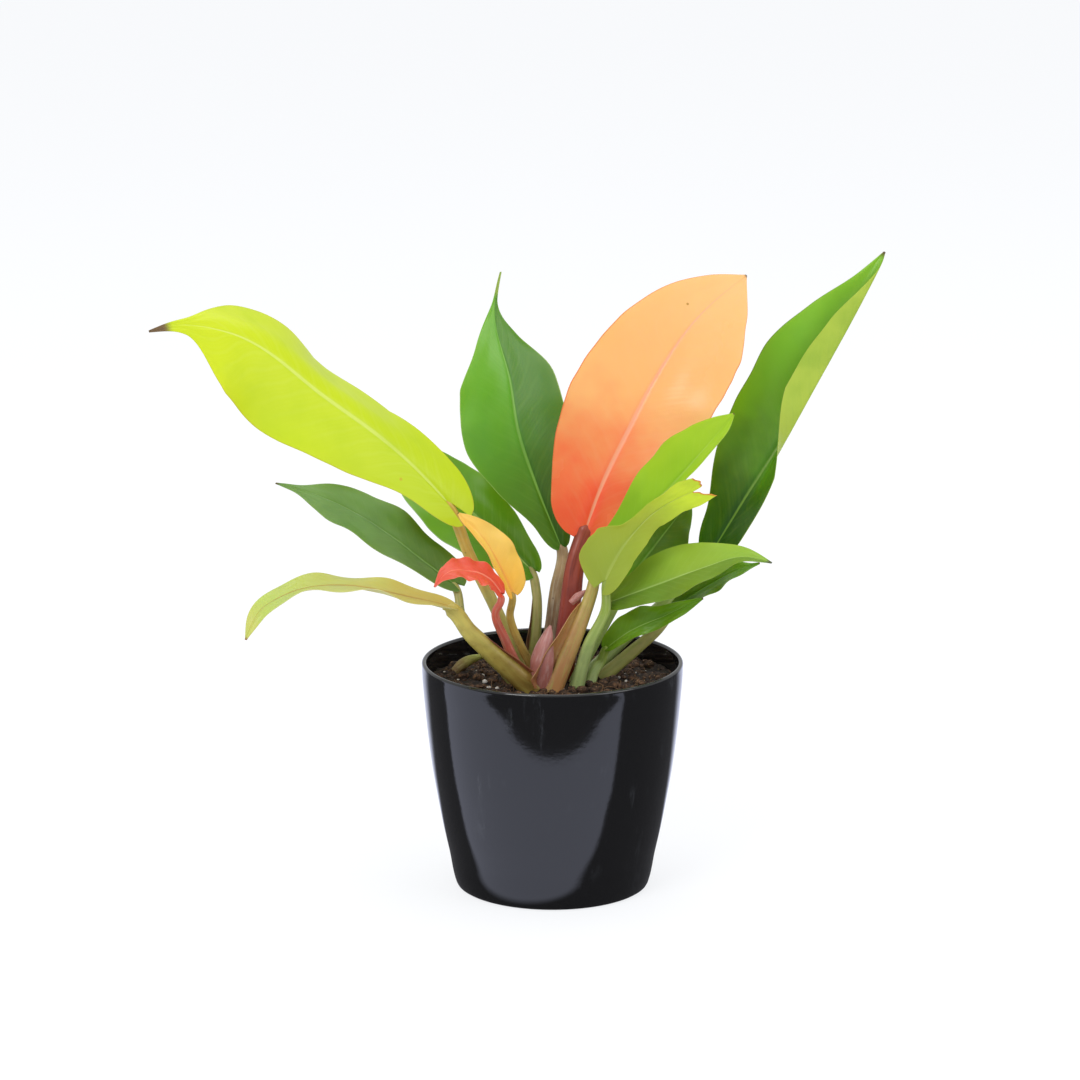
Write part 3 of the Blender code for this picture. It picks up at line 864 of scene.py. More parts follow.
@dataclass
class Leaf:
    """One leaf, in millimetres and degrees: a stalk from the crown and the blade on it.

    The design values are those of the solid model; wave, frill and the finishes are the fine surface's own.
    """

    name: str
    midrib: tuple[Point, ...]
    face: tuple[Point, ...]
    left: tuple[float, ...]
    right: tuple[float, ...]
    left_fold: tuple[float, ...]
    right_fold: tuple[float, ...]
    lobe: float
    stalk: tuple[Point, ...]
    stalk_base: tuple[float, float]
    stalk_top: float
    finish: BladeFinish
    stalk_finish: StalkFinish
    wave: float = 1.2
    waves: float = 3.0
    frill: float = 0.012
    end: End = End.POINTED
    plump: tuple[float, float] = (1.3, 1.15)
    wings: tuple[Wing, ...] = ()
    rows: int = 84
    row_ease: float = 0.65
    stalk_rows: int = 56
    stalk_sides: int = 22
    columns: int = 18
    thickness: float = 0.45
    stations: tuple[float, ...] = (0.0, 0.08, 0.25, 0.42, 0.58, 0.75, 0.9, 1.0)
    base_width: float = 0.8
    base_round: float = 0.075
    tip_width: float = 0.35
    lobe_reach: float = 0.25
    bend_share: float = 0.35
    sink: float = 4.0

    def frames(self, count: int = 161) -> tuple[np.ndarray, np.ndarray, np.ndarray, float]:
        """Return the midrib's points, directions and upper-side normals, and its length.

        Args:
            count: how many points to return.

        Returns:
            Points, directions, normals and the length in millimetres.
        """
        points = smooth_path(self.midrib, count)
        along = unit(np.gradient(points, axis=0))
        parts = np.linspace(0.0, 1.0, len(self.face))
        steps = np.linspace(0.0, 1.0, count)
        faces = unit(np.stack([np.interp(steps, parts, np.array(self.face)[:, axis]) for axis in range(3)],
                              1))
        normals = unit(faces - (faces * along).sum(1, keepdims=True) * along)
        return points, along, normals, float(np.linalg.norm(np.diff(points, axis=0), axis=1).sum())

    def row_shares(self) -> np.ndarray:
        """Return each row's share of the midrib, with rows closer together at base and tip."""
        s = np.linspace(0.0, 1.0, self.rows + 1)
        return (1.0 - self.row_ease) * s + self.row_ease * (0.5 - 0.5 * np.cos(pi * s))

    def widths(self, side: Side, t: np.ndarray) -> np.ndarray:
        """Return one side's half width at each share t of the midrib, base to tip.

        Args:
            side: which half of the blade.
            t: shares of the midrib, base to tip.

        Returns:
            One half width per share, in millimetres.
        """
        inner = self.left if side is Side.LEFT else self.right
        last = inner[-1] * 0.9 if self.end is End.TORN else self.tip_width
        values = (self.base_width * inner[0], *inner, last)
        smooth = smooth_values(self.stations, values, t)
        seed = self.finish.seed + side.value
        opened = np.clip(t / self.base_round, 0.0, 1.0)
        rounding = 0.25 + 0.75 * np.sqrt(1.0 - (1.0 - opened) ** 2)
        return smooth * rounding * (1.0 + self.frill * ripple(t * 26.0, t * 7.0, seed))

    def surface(self) -> tuple[np.ndarray, np.ndarray]:
        """Shape the blade.

        Returns:
            The middle surface as a grid of points, left margin first, and each point's signed share
            of the half width.
        """
        spine, along, normals, length = self.frames()
        t = self.row_shares()
        grid = np.zeros((self.rows + 1, 2 * self.columns + 1, 3))
        shares = np.zeros((self.rows + 1, 2 * self.columns + 1))
        for column in range(-self.columns, self.columns + 1):
            side = Side.LEFT if column < 0 else Side.RIGHT
            share = (abs(column) / self.columns) ** 1.25
            shares[:, column + self.columns] = side.value * share
            width = self.widths(side, t)
            reach = np.clip(1.0 - t / self.lobe_reach, 0.0, 1.0)
            x = t * length - self.lobe * reach**2 * share**1.3
            if self.end is End.TORN:
                x = x + 6.0 * ripple(np.array(column * 0.22), np.array(2.0), 1.7) * np.clip((t - 0.8) / 0.2,
                                                                                            0.0, 1.0) ** 2
            place = np.clip(x / length, 0.0, 1.0) * (len(spine) - 1)
            low = np.clip(place.astype(int), 0, len(spine) - 2)
            part = (place - low)[:, None]
            origin = spine[low] * (1 - part) + spine[low + 1] * part
            forward = unit(along[low] * (1 - part) + along[low + 1] * part)
            up = unit(normals[low] * (1 - part) + normals[low + 1] * part)
            origin = origin + forward * (np.minimum(x, 0.0) + np.maximum(x - length, 0.0))[:, None]
            folds = self.left_fold if side is Side.LEFT else self.right_fold
            turn = np.radians(np.interp(t, np.linspace(0.0, 1.0, len(folds)), folds))
            bend = self.bend_share * max(self.left + self.right)
            across = np.zeros_like(t)
            lift = np.zeros_like(t)
            for step in range(BEND_STEPS):
                walked = (step + 0.5) / BEND_STEPS * width * share
                angle = turn * np.minimum(walked / bend, 1.0)
                across += np.cos(angle) * width * share / BEND_STEPS
                lift += np.sin(angle) * width * share / BEND_STEPS
            swing = np.sin(2 * pi * self.waves * t + self.finish.seed * 5.0 + side.value)
            lift += self.wave * share**2 * swing * np.sin(pi * np.clip(t, 0.0, 1.0))
            lift += 0.3 * ripple(t * 14.0, np.full_like(t, share * side.value * 5.0), self.finish.seed)
            sideways = np.cross(forward, up)
            grid[:, column + self.columns] = origin + sideways * (side.value
                                                                  * across)[:, None] + up * lift[:, None]
        return grid, shares

    def build_blade(self, effects: Effects) -> bpy.types.Object:
        """Build and dress the blade, which replaces the model's node of the same name.

        Args:
            effects: the shared node groups.

        Returns:
            The blade.
        """
        grid, shares = self.surface()
        rows, columns = grid.shape[:2]
        normals = unit(np.cross(np.gradient(grid, axis=1), np.gradient(grid, axis=0)))
        t = self.row_shares()[:, None]
        reach = self.widths(Side.RIGHT, t[:, 0])[:, None] * np.abs(shares)
        rib = self.stalk_top * 0.85 * np.clip(1.0 - t, 0.0, 1.0) ** 0.8
        ridge = rib * np.exp(-(reach / (0.75 * rib + 0.25)) ** 2)
        groove = 0.28 * rib * np.exp(-(reach / (0.4 * rib + 0.15)) ** 2)
        rim = 1.0 - 0.45 * np.abs(shares) ** 6
        top = grid + normals * (self.thickness / 2 * rim - groove)[..., None]
        under = grid - normals * (self.thickness / 2 * rim + ridge)[..., None]
        along = np.repeat(t, columns, 1)
        parts = MeshParts()
        place = np.concatenate([
            np.stack([along, shares, np.zeros_like(shares)], 2).reshape(-1, 3),
            np.stack([along, shares, np.ones_like(shares)], 2).reshape(-1, 3)])
        parts.add(np.concatenate([top.reshape(-1, 3), under.reshape(-1, 3)]), sheet_faces(rows, columns),
                  place)
        node = self.name + "_blade"
        return parts.build(node + "_fine", self.finish.material(node, effects), node, node)

    def route(self) -> np.ndarray:
        """Return the stalk's route from under the potting mix's surface to the blade's underside.

        Returns:
            The route, one point per row.
        """
        spine, along, normals, _ = self.frames()
        foot = np.array(self.stalk[0], float)
        rise = unit(np.array(self.stalk[1], float) - foot)
        start = foot - rise * self.sink
        end = spine[4] - normals[4] * (self.stalk_top * 0.75)
        near = spine[0] - normals[0] * (self.stalk_top * 0.95) - along[0] * 1.5
        return smooth_path((tuple(start), *self.stalk[:-1], tuple(near), tuple(end)), self.stalk_rows)

    def build_stalk(self, effects: Effects) -> bpy.types.Object:
        """Build and dress the stalk with its sheath wings, which replaces the model's node.

        Args:
            effects: the shared node groups.

        Returns:
            The stalk.
        """
        route = self.route()
        across, flat = frames_along(route, (0.0, 1.0, 0.0))
        sides = self.stalk_sides
        share = np.linspace(0.0, 1.0, len(route))
        ease = share ** 0.8
        fuller = self.plump[0] * (1 - ease) + self.plump[1] * ease
        broad = fuller * (self.stalk_base[0] * (1 - ease) + self.stalk_top * ease)
        thin = fuller * (self.stalk_base[1] * (1 - ease) + self.stalk_top * ease)
        taper = np.clip((1.0 - share) / 0.06, 0.35, 1.0)
        angles = np.linspace(0.0, 2 * pi, sides, endpoint=False)
        vertices, place = [], []
        for row, centre in enumerate(route):
            for angle in angles:
                swell = 1.0 + 0.05 * ripple(np.array(share[row] * 9.0), np.array(cos(angle) * 1.5),
                                            self.finish.seed)
                channel = 1.0 - 0.22 * np.exp(-((angle - 1.5 * pi) / 0.5) ** 2)
                size = float(swell * channel * taper[row])
                vertices.append(centre + flat[row] * broad[row] * size * cos(angle)
                                + across[row] * thin[row] * size * sin(angle))
                place.append((share[row], angle, 0.0))
        parts = MeshParts()
        parts.add(np.array(vertices), ring_faces(len(route), sides), np.array(place))
        node = self.name + "_stalk"
        piece = parts.build(node + "_fine", self.stalk_finish.material(node, effects), node, node)
        for number, wing in enumerate(self.wings):
            self.build_wing(wing, number, route, across, flat, broad, effects)
        return piece

    def build_wing(self, wing: Wing, number: int, route: np.ndarray, across: np.ndarray, flat: np.ndarray,
                   broad: np.ndarray, effects: Effects) -> bpy.types.Object:
        """Build one sheath wing.

        Args:
            wing: the wing's design.
            number: its count on this stalk, for its name.
            route: the stalk's centre line.
            across: the stalk's broad direction at each point.
            flat: the stalk's thin direction at each point.
            broad: the stalk's half width at each point.
            effects: the shared node groups.

        Returns:
            The wing.
        """
        rows, columns = WING_ROWS, WING_COLUMNS
        share = np.linspace(wing.start, wing.end, rows) * (len(route) - 1)
        low = np.clip(share.astype(int), 0, len(route) - 2)
        part = (share - low)[:, None]
        centre = route[low] * (1 - part) + route[low + 1] * part
        out = unit(flat[low] * (1 - part) + flat[low + 1] * part) * -wing.side
        over = unit(across[low] * (1 - part) + across[low + 1] * part)
        reach = broad[low]
        t = np.linspace(0.0, 1.0, rows)
        width = wing.width * np.clip(1.0 - t, 0.0, 1.0) ** 0.55 * np.clip((t + 0.12) / 0.2, 0.0, 1.0) + 0.15
        width *= 1.0 + 0.08 * ripple(t * 12.0, t * 3.0, 2.0 + number)
        grid = np.zeros((rows, columns, 3))
        for column in range(columns):
            s = column / (columns - 1)
            bend = wing.curl * s**2
            grid[:, column] = (centre + out * (reach * 0.55 + width * s * cos(bend * 0.5))[:, None]
                               - over * (width * s * sin(bend))[:, None])
        normals = unit(np.cross(np.gradient(grid, axis=1), np.gradient(grid, axis=0)))
        thick = np.linspace(0.5, 0.14, columns)[None, :, None]
        vertices = np.concatenate([(grid + normals * thick).reshape(-1, 3),
                                   (grid - normals * thick).reshape(-1, 3)])
        s, rise = np.meshgrid(np.linspace(0.0, 2.0, columns), t)
        values = np.stack([rise, s, np.zeros_like(s)], 2).reshape(-1, 3)
        parts = MeshParts()
        parts.add(vertices, sheet_faces(rows, columns), np.concatenate([values, values]))
        name = f"{self.name}_sheath_wing_{number + 1}"
        return parts.build(name, wing.finish.material(name, effects), self.name + "_stalk")


GREEN_RIB: Colour = (0.36, 0.55, 0.12)
LIME_STALK = StalkFinish((0.42, 0.45, 0.14), (0.62, 0.38, 0.05), (0.7, 0.6, 0.2))
GREEN_STALK = StalkFinish((0.36, 0.46, 0.17), (0.28, 0.4, 0.05), (0.5, 0.56, 0.2))
FOLDED_STALK = StalkFinish((0.42, 0.2, 0.07), (0.46, 0.38, 0.09), (0.34, 0.36, 0.08), 0.55, 1.6, 0.4, 0.3)
OLIVE_STALK = StalkFinish((0.3, 0.29, 0.08), (0.4, 0.34, 0.1), (0.2, 0.3, 0.05))
BROWN_STALK = StalkFinish((0.15, 0.07, 0.035), (0.36, 0.24, 0.1), (0.55, 0.48, 0.34), 0.6, 2.4, 0.45, 0.5)
RED_STALK = StalkFinish((0.26, 0.025, 0.018), (0.33, 0.06, 0.03), (0.12, 0.012, 0.01), 0.5, 1.0, 0.32, 0.2)
YELLOW_STALK = StalkFinish((0.36, 0.25, 0.06), (0.6, 0.42, 0.08), (0.65, 0.55, 0.2))
CORAL_STALK = StalkFinish((0.45, 0.13, 0.1), (0.7, 0.12, 0.07), (0.75, 0.4, 0.3))
SHEATH_ORANGE = StalkFinish((0.4, 0.15, 0.06), (0.46, 0.24, 0.07), (0.38, 0.3, 0.1), 0.55, 1.6, 0.42, 0.3)
SHEATH_RED = StalkFinish((0.3, 0.09, 0.04), (0.2, 0.04, 0.02), (0.4, 0.2, 0.08), 0.5, 1.6, 0.45, 0.3)
SHEATH_BROWN = StalkFinish((0.12, 0.05, 0.02), (0.2, 0.1, 0.04), (0.4, 0.3, 0.18), 0.6, 2.4, 0.6, 0.6)


def make_leaves() -> list[Leaf]:
    """Return the fifteen leaves, each with its own shape and finish."""
    return [
        Leaf(
            name="lime_leaf",
            midrib=((-52, -20, 201), (-74, -24, 225), (-110, -32, 255), (-155, -44, 289), (-180, -52, 294),
                    (-192, -57, 292)),
            face=((0.2, -0.8, 0.5), (0.1, -0.75, 0.6), (0.1, -0.75, 0.6)),
            left=(12, 24, 31, 35, 32, 5), right=(19, 27, 31, 32, 24, 3.5),
            left_fold=(5, 0, 0), right_fold=(-10, -48, -50, -35, -20), lobe=15,
            stalk=((-14, 0, 106), (-27, -5, 140), (-41, -12, 172), (-51, -17, 196)),
            stalk_base=(2.6, 2.6), stalk_top=2.4,
            finish=BladeFinish((0.48, 0.62, 0.004), (0.53, 0.66, 0.0015), (0.56, 0.66, 0.01),
                               (0.64, 0.75, 0.14),
                               (0.5, 0.4, 0.02), (0.6, 0.7, 0.12), (0.42, 0.58, 0.002), 0.5, 30.0,
                               vein_strength=0.1, spot=(0.55, 0.3, 0.01), spot_share=0.06, spot_size=0.22,
                               dry_from=0.93, tip_dry=(0.16, 0.1, 0.05), roughness=0.36, seed=0.3),
            stalk_finish=LIME_STALK),
        Leaf(
            name="dark_left_leaf",
            midrib=((-50, 16, 151), (-64, 22, 160), (-84, 32, 173), (-104, 42, 183), (-132, 54, 191),
                    (-140, 58, 192)),
            face=((0.3, -0.6, 0.7), (0.2, -0.5, 0.8)),
            left=(8, 12, 15, 15, 10, 3), right=(12, 14, 16, 15, 10, 3),
            left_fold=(10, 10, 5), right_fold=(10, 10, 5), lobe=6,
            stalk=((-20, -8, 106), (-34, 0, 121), (-45, 9, 135), (-49, 16, 148)),
            stalk_base=(2.0, 2.0), stalk_top=1.8,
            finish=BladeFinish((0.07, 0.15, 0.006), (0.1, 0.24, 0.02), (0.14, 0.28, 0.05), (0.2, 0.34, 0.08),
                               (0.3, 0.4, 0.15), (0.2, 0.32, 0.1), (0.05, 0.14, 0.01), 0.4, 34.0,
                               dry_from=0.97, roughness=0.34, seed=1.1),
            stalk_finish=OLIVE_STALK),
        Leaf(
            name="mid_left_leaf",
            midrib=((-12, 28, 156), (-31, 36, 173), (-52, 48, 190), (-77, 64, 205), (-89, 72, 211)),
            face=((0.3, -0.8, 0.4), (0.2, -0.8, 0.5)),
            left=(13, 21, 24, 22, 15, 6), right=(10, 16, 18, 17, 13, 6),
            left_fold=(10, 10, 10), right_fold=(10, 10, 10), lobe=6,
            stalk=((-11, 10, 106), (-8, 15, 128), (-8, 22, 144), (-12, 28, 156)),
            stalk_base=(2.4, 2.4), stalk_top=1.9,
            finish=BladeFinish((0.09, 0.25, 0.002), (0.14, 0.38, 0.006), (0.2, 0.42, 0.01), GREEN_RIB,
                               (0.4, 0.55, 0.3), (0.3, 0.45, 0.08), (0.08, 0.26, 0.004), 0.4, 26.0,
                               right_painted_shade=0.35, seed=2.2),
            stalk_finish=OLIVE_STALK, wings=(Wing(-1, 0.1, 0.72, 3.4, 0.8, SHEATH_BROWN),)),
        Leaf(
            name="upright_leaf",
            midrib=((4, 20, 169), (-8, 26, 198), (-17, 34, 224), (-21, 44, 247), (-29, 62, 281),
                    (-26, 72, 298)),
            face=((0.0, -1.0, 0.2), (-0.1, -1.0, 0.1)),
            left=(8, 20, 28, 26, 12, 1), right=(9, 20, 26, 23, 9.5, 1),
            left_fold=(8, 8, 5), right_fold=(8, 8, 5), lobe=2,
            stalk=((-4, 3, 110), (-1, 7, 124), (2, 13, 148), (4, 21, 167)),
            stalk_base=(4.0, 3.2), stalk_top=2.4,
            finish=BladeFinish((0.06, 0.17, 0.004), (0.1, 0.33, 0.006), (0.16, 0.4, 0.04), (0.2, 0.42, 0.06),
                               (0.3, 0.45, 0.1), (0.25, 0.42, 0.1), (0.05, 0.22, 0.004), 0.45, 24.0,
                               rib_width=0.05, tip_dry=(0.3, 0.42, 0.08), dry_from=0.9, roughness=0.36,
                               right_painted_shade=0.75,
                               seed=3.1),
            stalk_finish=BROWN_STALK, wings=(Wing(1, 0.05, 0.62, 2.8, 0.6, SHEATH_BROWN),),
            plump=(1.2, 1.15)),
        Leaf(
            name="orange_leaf",
            midrib=((17, 5, 182), (25, 6, 204), (37, 9, 229), (49, 14, 252), (72, 24, 284), (96, 34, 303)),
            face=((-0.1, -1.0, 0.2), (0.0, -1.0, 0.3)),
            left=(22, 32, 36, 33, 25, 12), right=(14, 30, 34, 34, 31, 18),
            left_fold=(8, 8, 5), right_fold=(8, 8, 5), lobe=7,
            stalk=((5, -3, 110), (8, -1, 136), (12, 4, 166), (17, 9, 180)),
            stalk_base=(4.6, 3.8), stalk_top=2.8,
            finish=BladeFinish((0.96, 0.1, 0.04), (0.95, 0.43, 0.165), (0.95, 0.51, 0.22), (0.96, 0.42, 0.26),
                               (0.75, 0.08, 0.03), (0.75, 0.3, 0.14), (0.93, 0.42, 0.14), 0.3, 20.0,
                               rib_width=0.055, vein_strength=0.06, dry_from=0.992, roughness=0.22,
                               translucence=0.3, seed=4.3),
            stalk_finish=RED_STALK, plump=(1.3, 1.55)),
        Leaf(
            name="folded_leaf",
            midrib=((25, -9, 173), (45, -16, 194), (64, -26, 217), (87, -42, 249)),
            face=((-0.5, -0.8, 0.3), (-0.3, -0.8, 0.3)),
            left=(8, 13, 18, 18, 14, 7), right=(8, 13, 17, 17, 12, 6),
            left_fold=(0, 0, 0), right_fold=(60, 75, 60), lobe=5,
            stalk=((1, -21, 107), (12, -17, 134), (19, -12, 152), (24, -8, 171)),
            stalk_base=(4.0, 3.0), stalk_top=1.9,
            finish=BladeFinish((0.2, 0.44, 0.008), (0.33, 0.58, 0.015), (0.37, 0.6, 0.025),
                               (0.42, 0.62, 0.08),
                               (0.3, 0.45, 0.05), (0.35, 0.55, 0.1), (0.22, 0.5, 0.01), 0.35, 26.0,
                               dry_from=0.995, seed=5.7),
            stalk_finish=FOLDED_STALK, wings=(Wing(-1, 0.0, 0.62, 11.5, 0.8, SHEATH_ORANGE),),
            plump=(1.25, 1.3)),
        Leaf(
            name="torn_leaf",
            midrib=((26, -24, 162), (34, -32, 180), (49, -42, 200), (71, -54, 215)),
            face=((-0.6, -0.7, -0.2), (-0.4, -0.7, -0.4), (-0.3, -0.7, -0.6)),
            left=(18, 16, 7, 5, 6, 8), right=(8, 9, 8, 7, 8, 9),
            left_fold=(0, 0, 0), right_fold=(10, 10, 0), lobe=8,
            stalk=((12, -15, 106), (18, -18, 128), (26, -19, 146), (28, -21, 157)),
            stalk_base=(3.0, 3.0), stalk_top=1.8,
            finish=BladeFinish((0.33, 0.43, 0.05), (0.34, 0.42, 0.03), (0.62, 0.8, 0.03), (0.45, 0.55, 0.12),
                               (0.5, 0.55, 0.05), (0.3, 0.45, 0.05), (0.28, 0.4, 0.03), 0.35, 34.0,
                               rib_width=0.08, dry_from=0.985, tip_dry=(0.6, 0.2, 0.03), roughness=0.42,
                               seed=6.4),
            stalk_finish=GREEN_STALK, end=End.TORN, frill=0.05),
        Leaf(
            name="tall_right_leaf",
            midrib=((82, 28, 167), (99, 34, 194), (112, 40, 213), (136, 52, 253), (151, 60, 279),
                    (167, 68, 309)),
            face=((-0.2, -0.9, 0.4), (-0.2, -1.0, 0.2)),
            left=(13, 26, 31, 31, 22, 8), right=(12, 17, 17, 17, 13, 5),
            left_fold=(5, 5, 8), right_fold=(15, 60, 145, 150, 145), lobe=8,
            stalk=((19, 8, 107), (42, 14, 128), (64, 21, 147), (80, 29, 165)),
            stalk_base=(2.8, 2.8), stalk_top=2.2,
            # Painted shade: the base colour is near black, for the blade's base in shadow among the other
            # leaves.
            finish=BladeFinish((0.02, 0.1, 0.001), (0.15, 0.42, 0.008), (0.2, 0.45, 0.02), (0.22, 0.42, 0.05),
                               (0.12, 0.2, 0.03), (0.48, 0.58, 0.07), (0.08, 0.28, 0.005), 0.4, 24.0,
                               rib_width=0.05, dry_from=0.975, roughness=0.32, seed=7.2),
            stalk_finish=GREEN_STALK, wave=0.8, bend_share=0.12),
        Leaf(
            name="back_leaf",
            midrib=((38, 10, 154), (50, 14, 169), (69, 24, 191)),
            face=((-0.3, -0.8, 0.4), (-0.3, -0.8, 0.4)),
            left=(8, 14, 16, 15, 10, 5), right=(8, 14, 16, 15, 10, 5),
            left_fold=(10, 10, 10), right_fold=(10, 10, 10), lobe=4,
            stalk=((12, 1, 106), (22, 4, 124), (31, 8, 140), (37, 12, 151)),
            stalk_base=(2.2, 2.2), stalk_top=1.7,
            finish=BladeFinish((0.12, 0.3, 0.01), (0.05, 0.16, 0.003), (0.06, 0.18, 0.004), (0.2, 0.4, 0.06),
                               (0.15, 0.3, 0.05), (0.2, 0.38, 0.06), (0.04, 0.12, 0.003), 0.4, 30.0,
                               seed=8.8),
            stalk_finish=GREEN_STALK),
        Leaf(
            name="arched_leaf",
            midrib=((29, -15, 149), (52, -28, 161), (74, -42, 173), (93, -54, 181), (105, -62, 180)),
            face=((0.0, -0.9, 0.5), (0.0, -0.8, 0.6)),
            left=(8, 14, 16, 13, 8, 3), right=(6, 8, 9, 7, 4, 2),
            left_fold=(0, 0, 0), right_fold=(0, -10, 0), lobe=4,
            stalk=((11, -7, 106), (17, -8, 120), (23, -10, 134), (28, -13, 147)),
            stalk_base=(2.2, 2.2), stalk_top=1.7,
            finish=BladeFinish((0.18, 0.3, 0.02), (0.28, 0.44, 0.04), (0.26, 0.44, 0.05), (0.4, 0.56, 0.14),
                               (0.16, 0.28, 0.03), (0.3, 0.45, 0.08), (0.16, 0.34, 0.02), 0.35, 30.0,
                               right_painted_shade=0.6, dry_from=0.96, tip_dry=(0.1, 0.12, 0.05), seed=9.5),
            stalk_finish=GREEN_STALK),
        Leaf(
            name="low_right_leaf",
            midrib=((60, 4, 141), (75, 0, 152), (90, -6, 162), (102, -10, 167)),
            face=((0.0, -0.6, 0.8), (0.0, -0.6, 0.8)),
            left=(4, 7, 7, 7, 5, 2), right=(4, 7, 7, 7, 5, 2),
            left_fold=(10, 10, 10), right_fold=(10, 10, 10), lobe=2,
            stalk=((27, 3, 107.5), (41, 5, 119), (52, 6, 129), (59, 6, 137)),
            stalk_base=(3.0, 3.0), stalk_top=2.2,
            finish=BladeFinish((0.06, 0.15, 0.002), (0.07, 0.18, 0.002), (0.09, 0.24, 0.006),
                               (0.18, 0.36, 0.05),
                               (0.2, 0.34, 0.05), (0.2, 0.36, 0.06), (0.05, 0.13, 0.003), 0.3, 40.0,
                               roughness=0.28, seed=10.1),
            stalk_finish=OLIVE_STALK),
        Leaf(
            name="short_right_leaf",
            midrib=((27, -6, 123), (38, -9, 132), (55, -13, 141), (74, -17, 151)),
            face=((-0.2, -0.9, 0.4), (-0.2, -0.9, 0.4)),
            left=(6, 9, 9, 6, 4, 2), right=(3, 4, 5, 5, 4, 2),
            left_fold=(5, 5, 5), right_fold=(10, 10, 10), lobe=2,
            stalk=((19, -7, 106), (21, -5, 111), (24, -3, 115), (27, -2, 119)),
            stalk_base=(2.4, 2.4), stalk_top=1.8,
            finish=BladeFinish((0.16, 0.32, 0.01), (0.1, 0.24, 0.004), (0.14, 0.32, 0.01), (0.3, 0.48, 0.1),
                               (0.2, 0.36, 0.06), (0.25, 0.42, 0.08), (0.07, 0.2, 0.004), 0.35, 40.0,
                               seed=11.4),
            stalk_finish=GREEN_STALK),
        Leaf(
            name="amber_leaf",
            midrib=((-20, -24, 156), (-26, -26, 170), (-34, -30, 185), (-46, -34, 198)),
            face=((0.3, -0.9, 0.2), (0.3, -0.9, 0.2)),
            left=(6, 9, 9, 8, 6, 3), right=(9, 11, 11, 9, 6, 3),
            left_fold=(70, 70, 70), right_fold=(0, 0, 0), lobe=3,
            stalk=((-8, -7, 110), (-16, -12, 126), (-21, -17, 142), (-20, -21, 154)),
            stalk_base=(2.0, 2.0), stalk_top=1.5,
            finish=BladeFinish((0.98, 0.48, 0.06), (0.99, 0.58, 0.12), (0.97, 0.5, 0.08), (0.95, 0.42, 0.1),
                               (0.8, 0.25, 0.06), (0.7, 0.26, 0.07), (0.94, 0.58, 0.15), 0.5, 36.0,
                               roughness=0.3, translucence=0.3, vein_strength=0.08, dry_from=0.99, seed=12.3),
            stalk_finish=YELLOW_STALK),
        Leaf(
            name="red_leaf",
            midrib=((-25, -41, 160), (-31, -44, 168), (-41, -50, 173), (-51, -58, 174), (-57, -62, 168)),
            face=((0.1, -0.5, 0.9), (0.1, -0.5, 0.9)),
            left=(5, 9, 10, 9, 6, 2), right=(5, 8, 9, 8, 5, 2),
            left_fold=(10, 10, 10), right_fold=(10, 10, 10), lobe=2,
            stalk=((-14, -12, 106), (-23, -20, 130), (-28, -31, 147), (-26, -38, 157)),
            stalk_base=(2.4, 2.2), stalk_top=1.5,
            finish=BladeFinish((0.7, 0.06, 0.03), (0.66, 0.065, 0.035), (0.72, 0.1, 0.06), (0.88, 0.28, 0.18),
                               (0.85, 0.25, 0.12), (0.6, 0.1, 0.05), (0.85, 0.13, 0.08), 0.45, 50.0,
                               rib_width=0.1, roughness=0.3, dry_from=0.995, seed=13.6),
            stalk_finish=CORAL_STALK, frill=0.07, wave=1.0, waves=5.0),
        Leaf(
            name="drooping_leaf",
            midrib=((-50, -28, 150), (-74, -38, 158), (-100, -50, 166), (-126, -64, 166), (-141, -72, 158),
                    (-147, -78, 146)),
            face=((0.1, -0.3, 1.0), (0.0, -0.3, 1.0)),
            left=(7, 11, 11, 9, 9, 5), right=(7, 9, 9, 8, 8, 4),
            left_fold=(20, 20, 20), right_fold=(20, 10, 10), lobe=4,
            stalk=((-12, -20, 107.5), (-26, -23, 121), (-41, -27, 137), (-49, -30, 146)),
            stalk_base=(3.6, 3.4), stalk_top=2.3,
            finish=BladeFinish((0.58, 0.48, 0.11), (0.5, 0.53, 0.14), (0.44, 0.6, 0.12), (0.42, 0.24, 0.05),
                               (0.6, 0.6, 0.3), (0.62, 0.6, 0.25), (0.62, 0.5, 0.14), 0.5, 40.0,
                               rib_width=0.12, dry_from=0.985, tip_dry=(0.3, 0.12, 0.04), seed=14.2),
            stalk_finish=StalkFinish((0.28, 0.18, 0.035), (0.56, 0.48, 0.1), (0.4, 0.36, 0.08)),
            wings=(Wing(1, 0.02, 0.7, 5.2, 0.7, SHEATH_RED),), wave=2.0, plump=(1.7, 1.6)),
    ]


# ---------------------------------------------------------------- pot, potting mix and crown


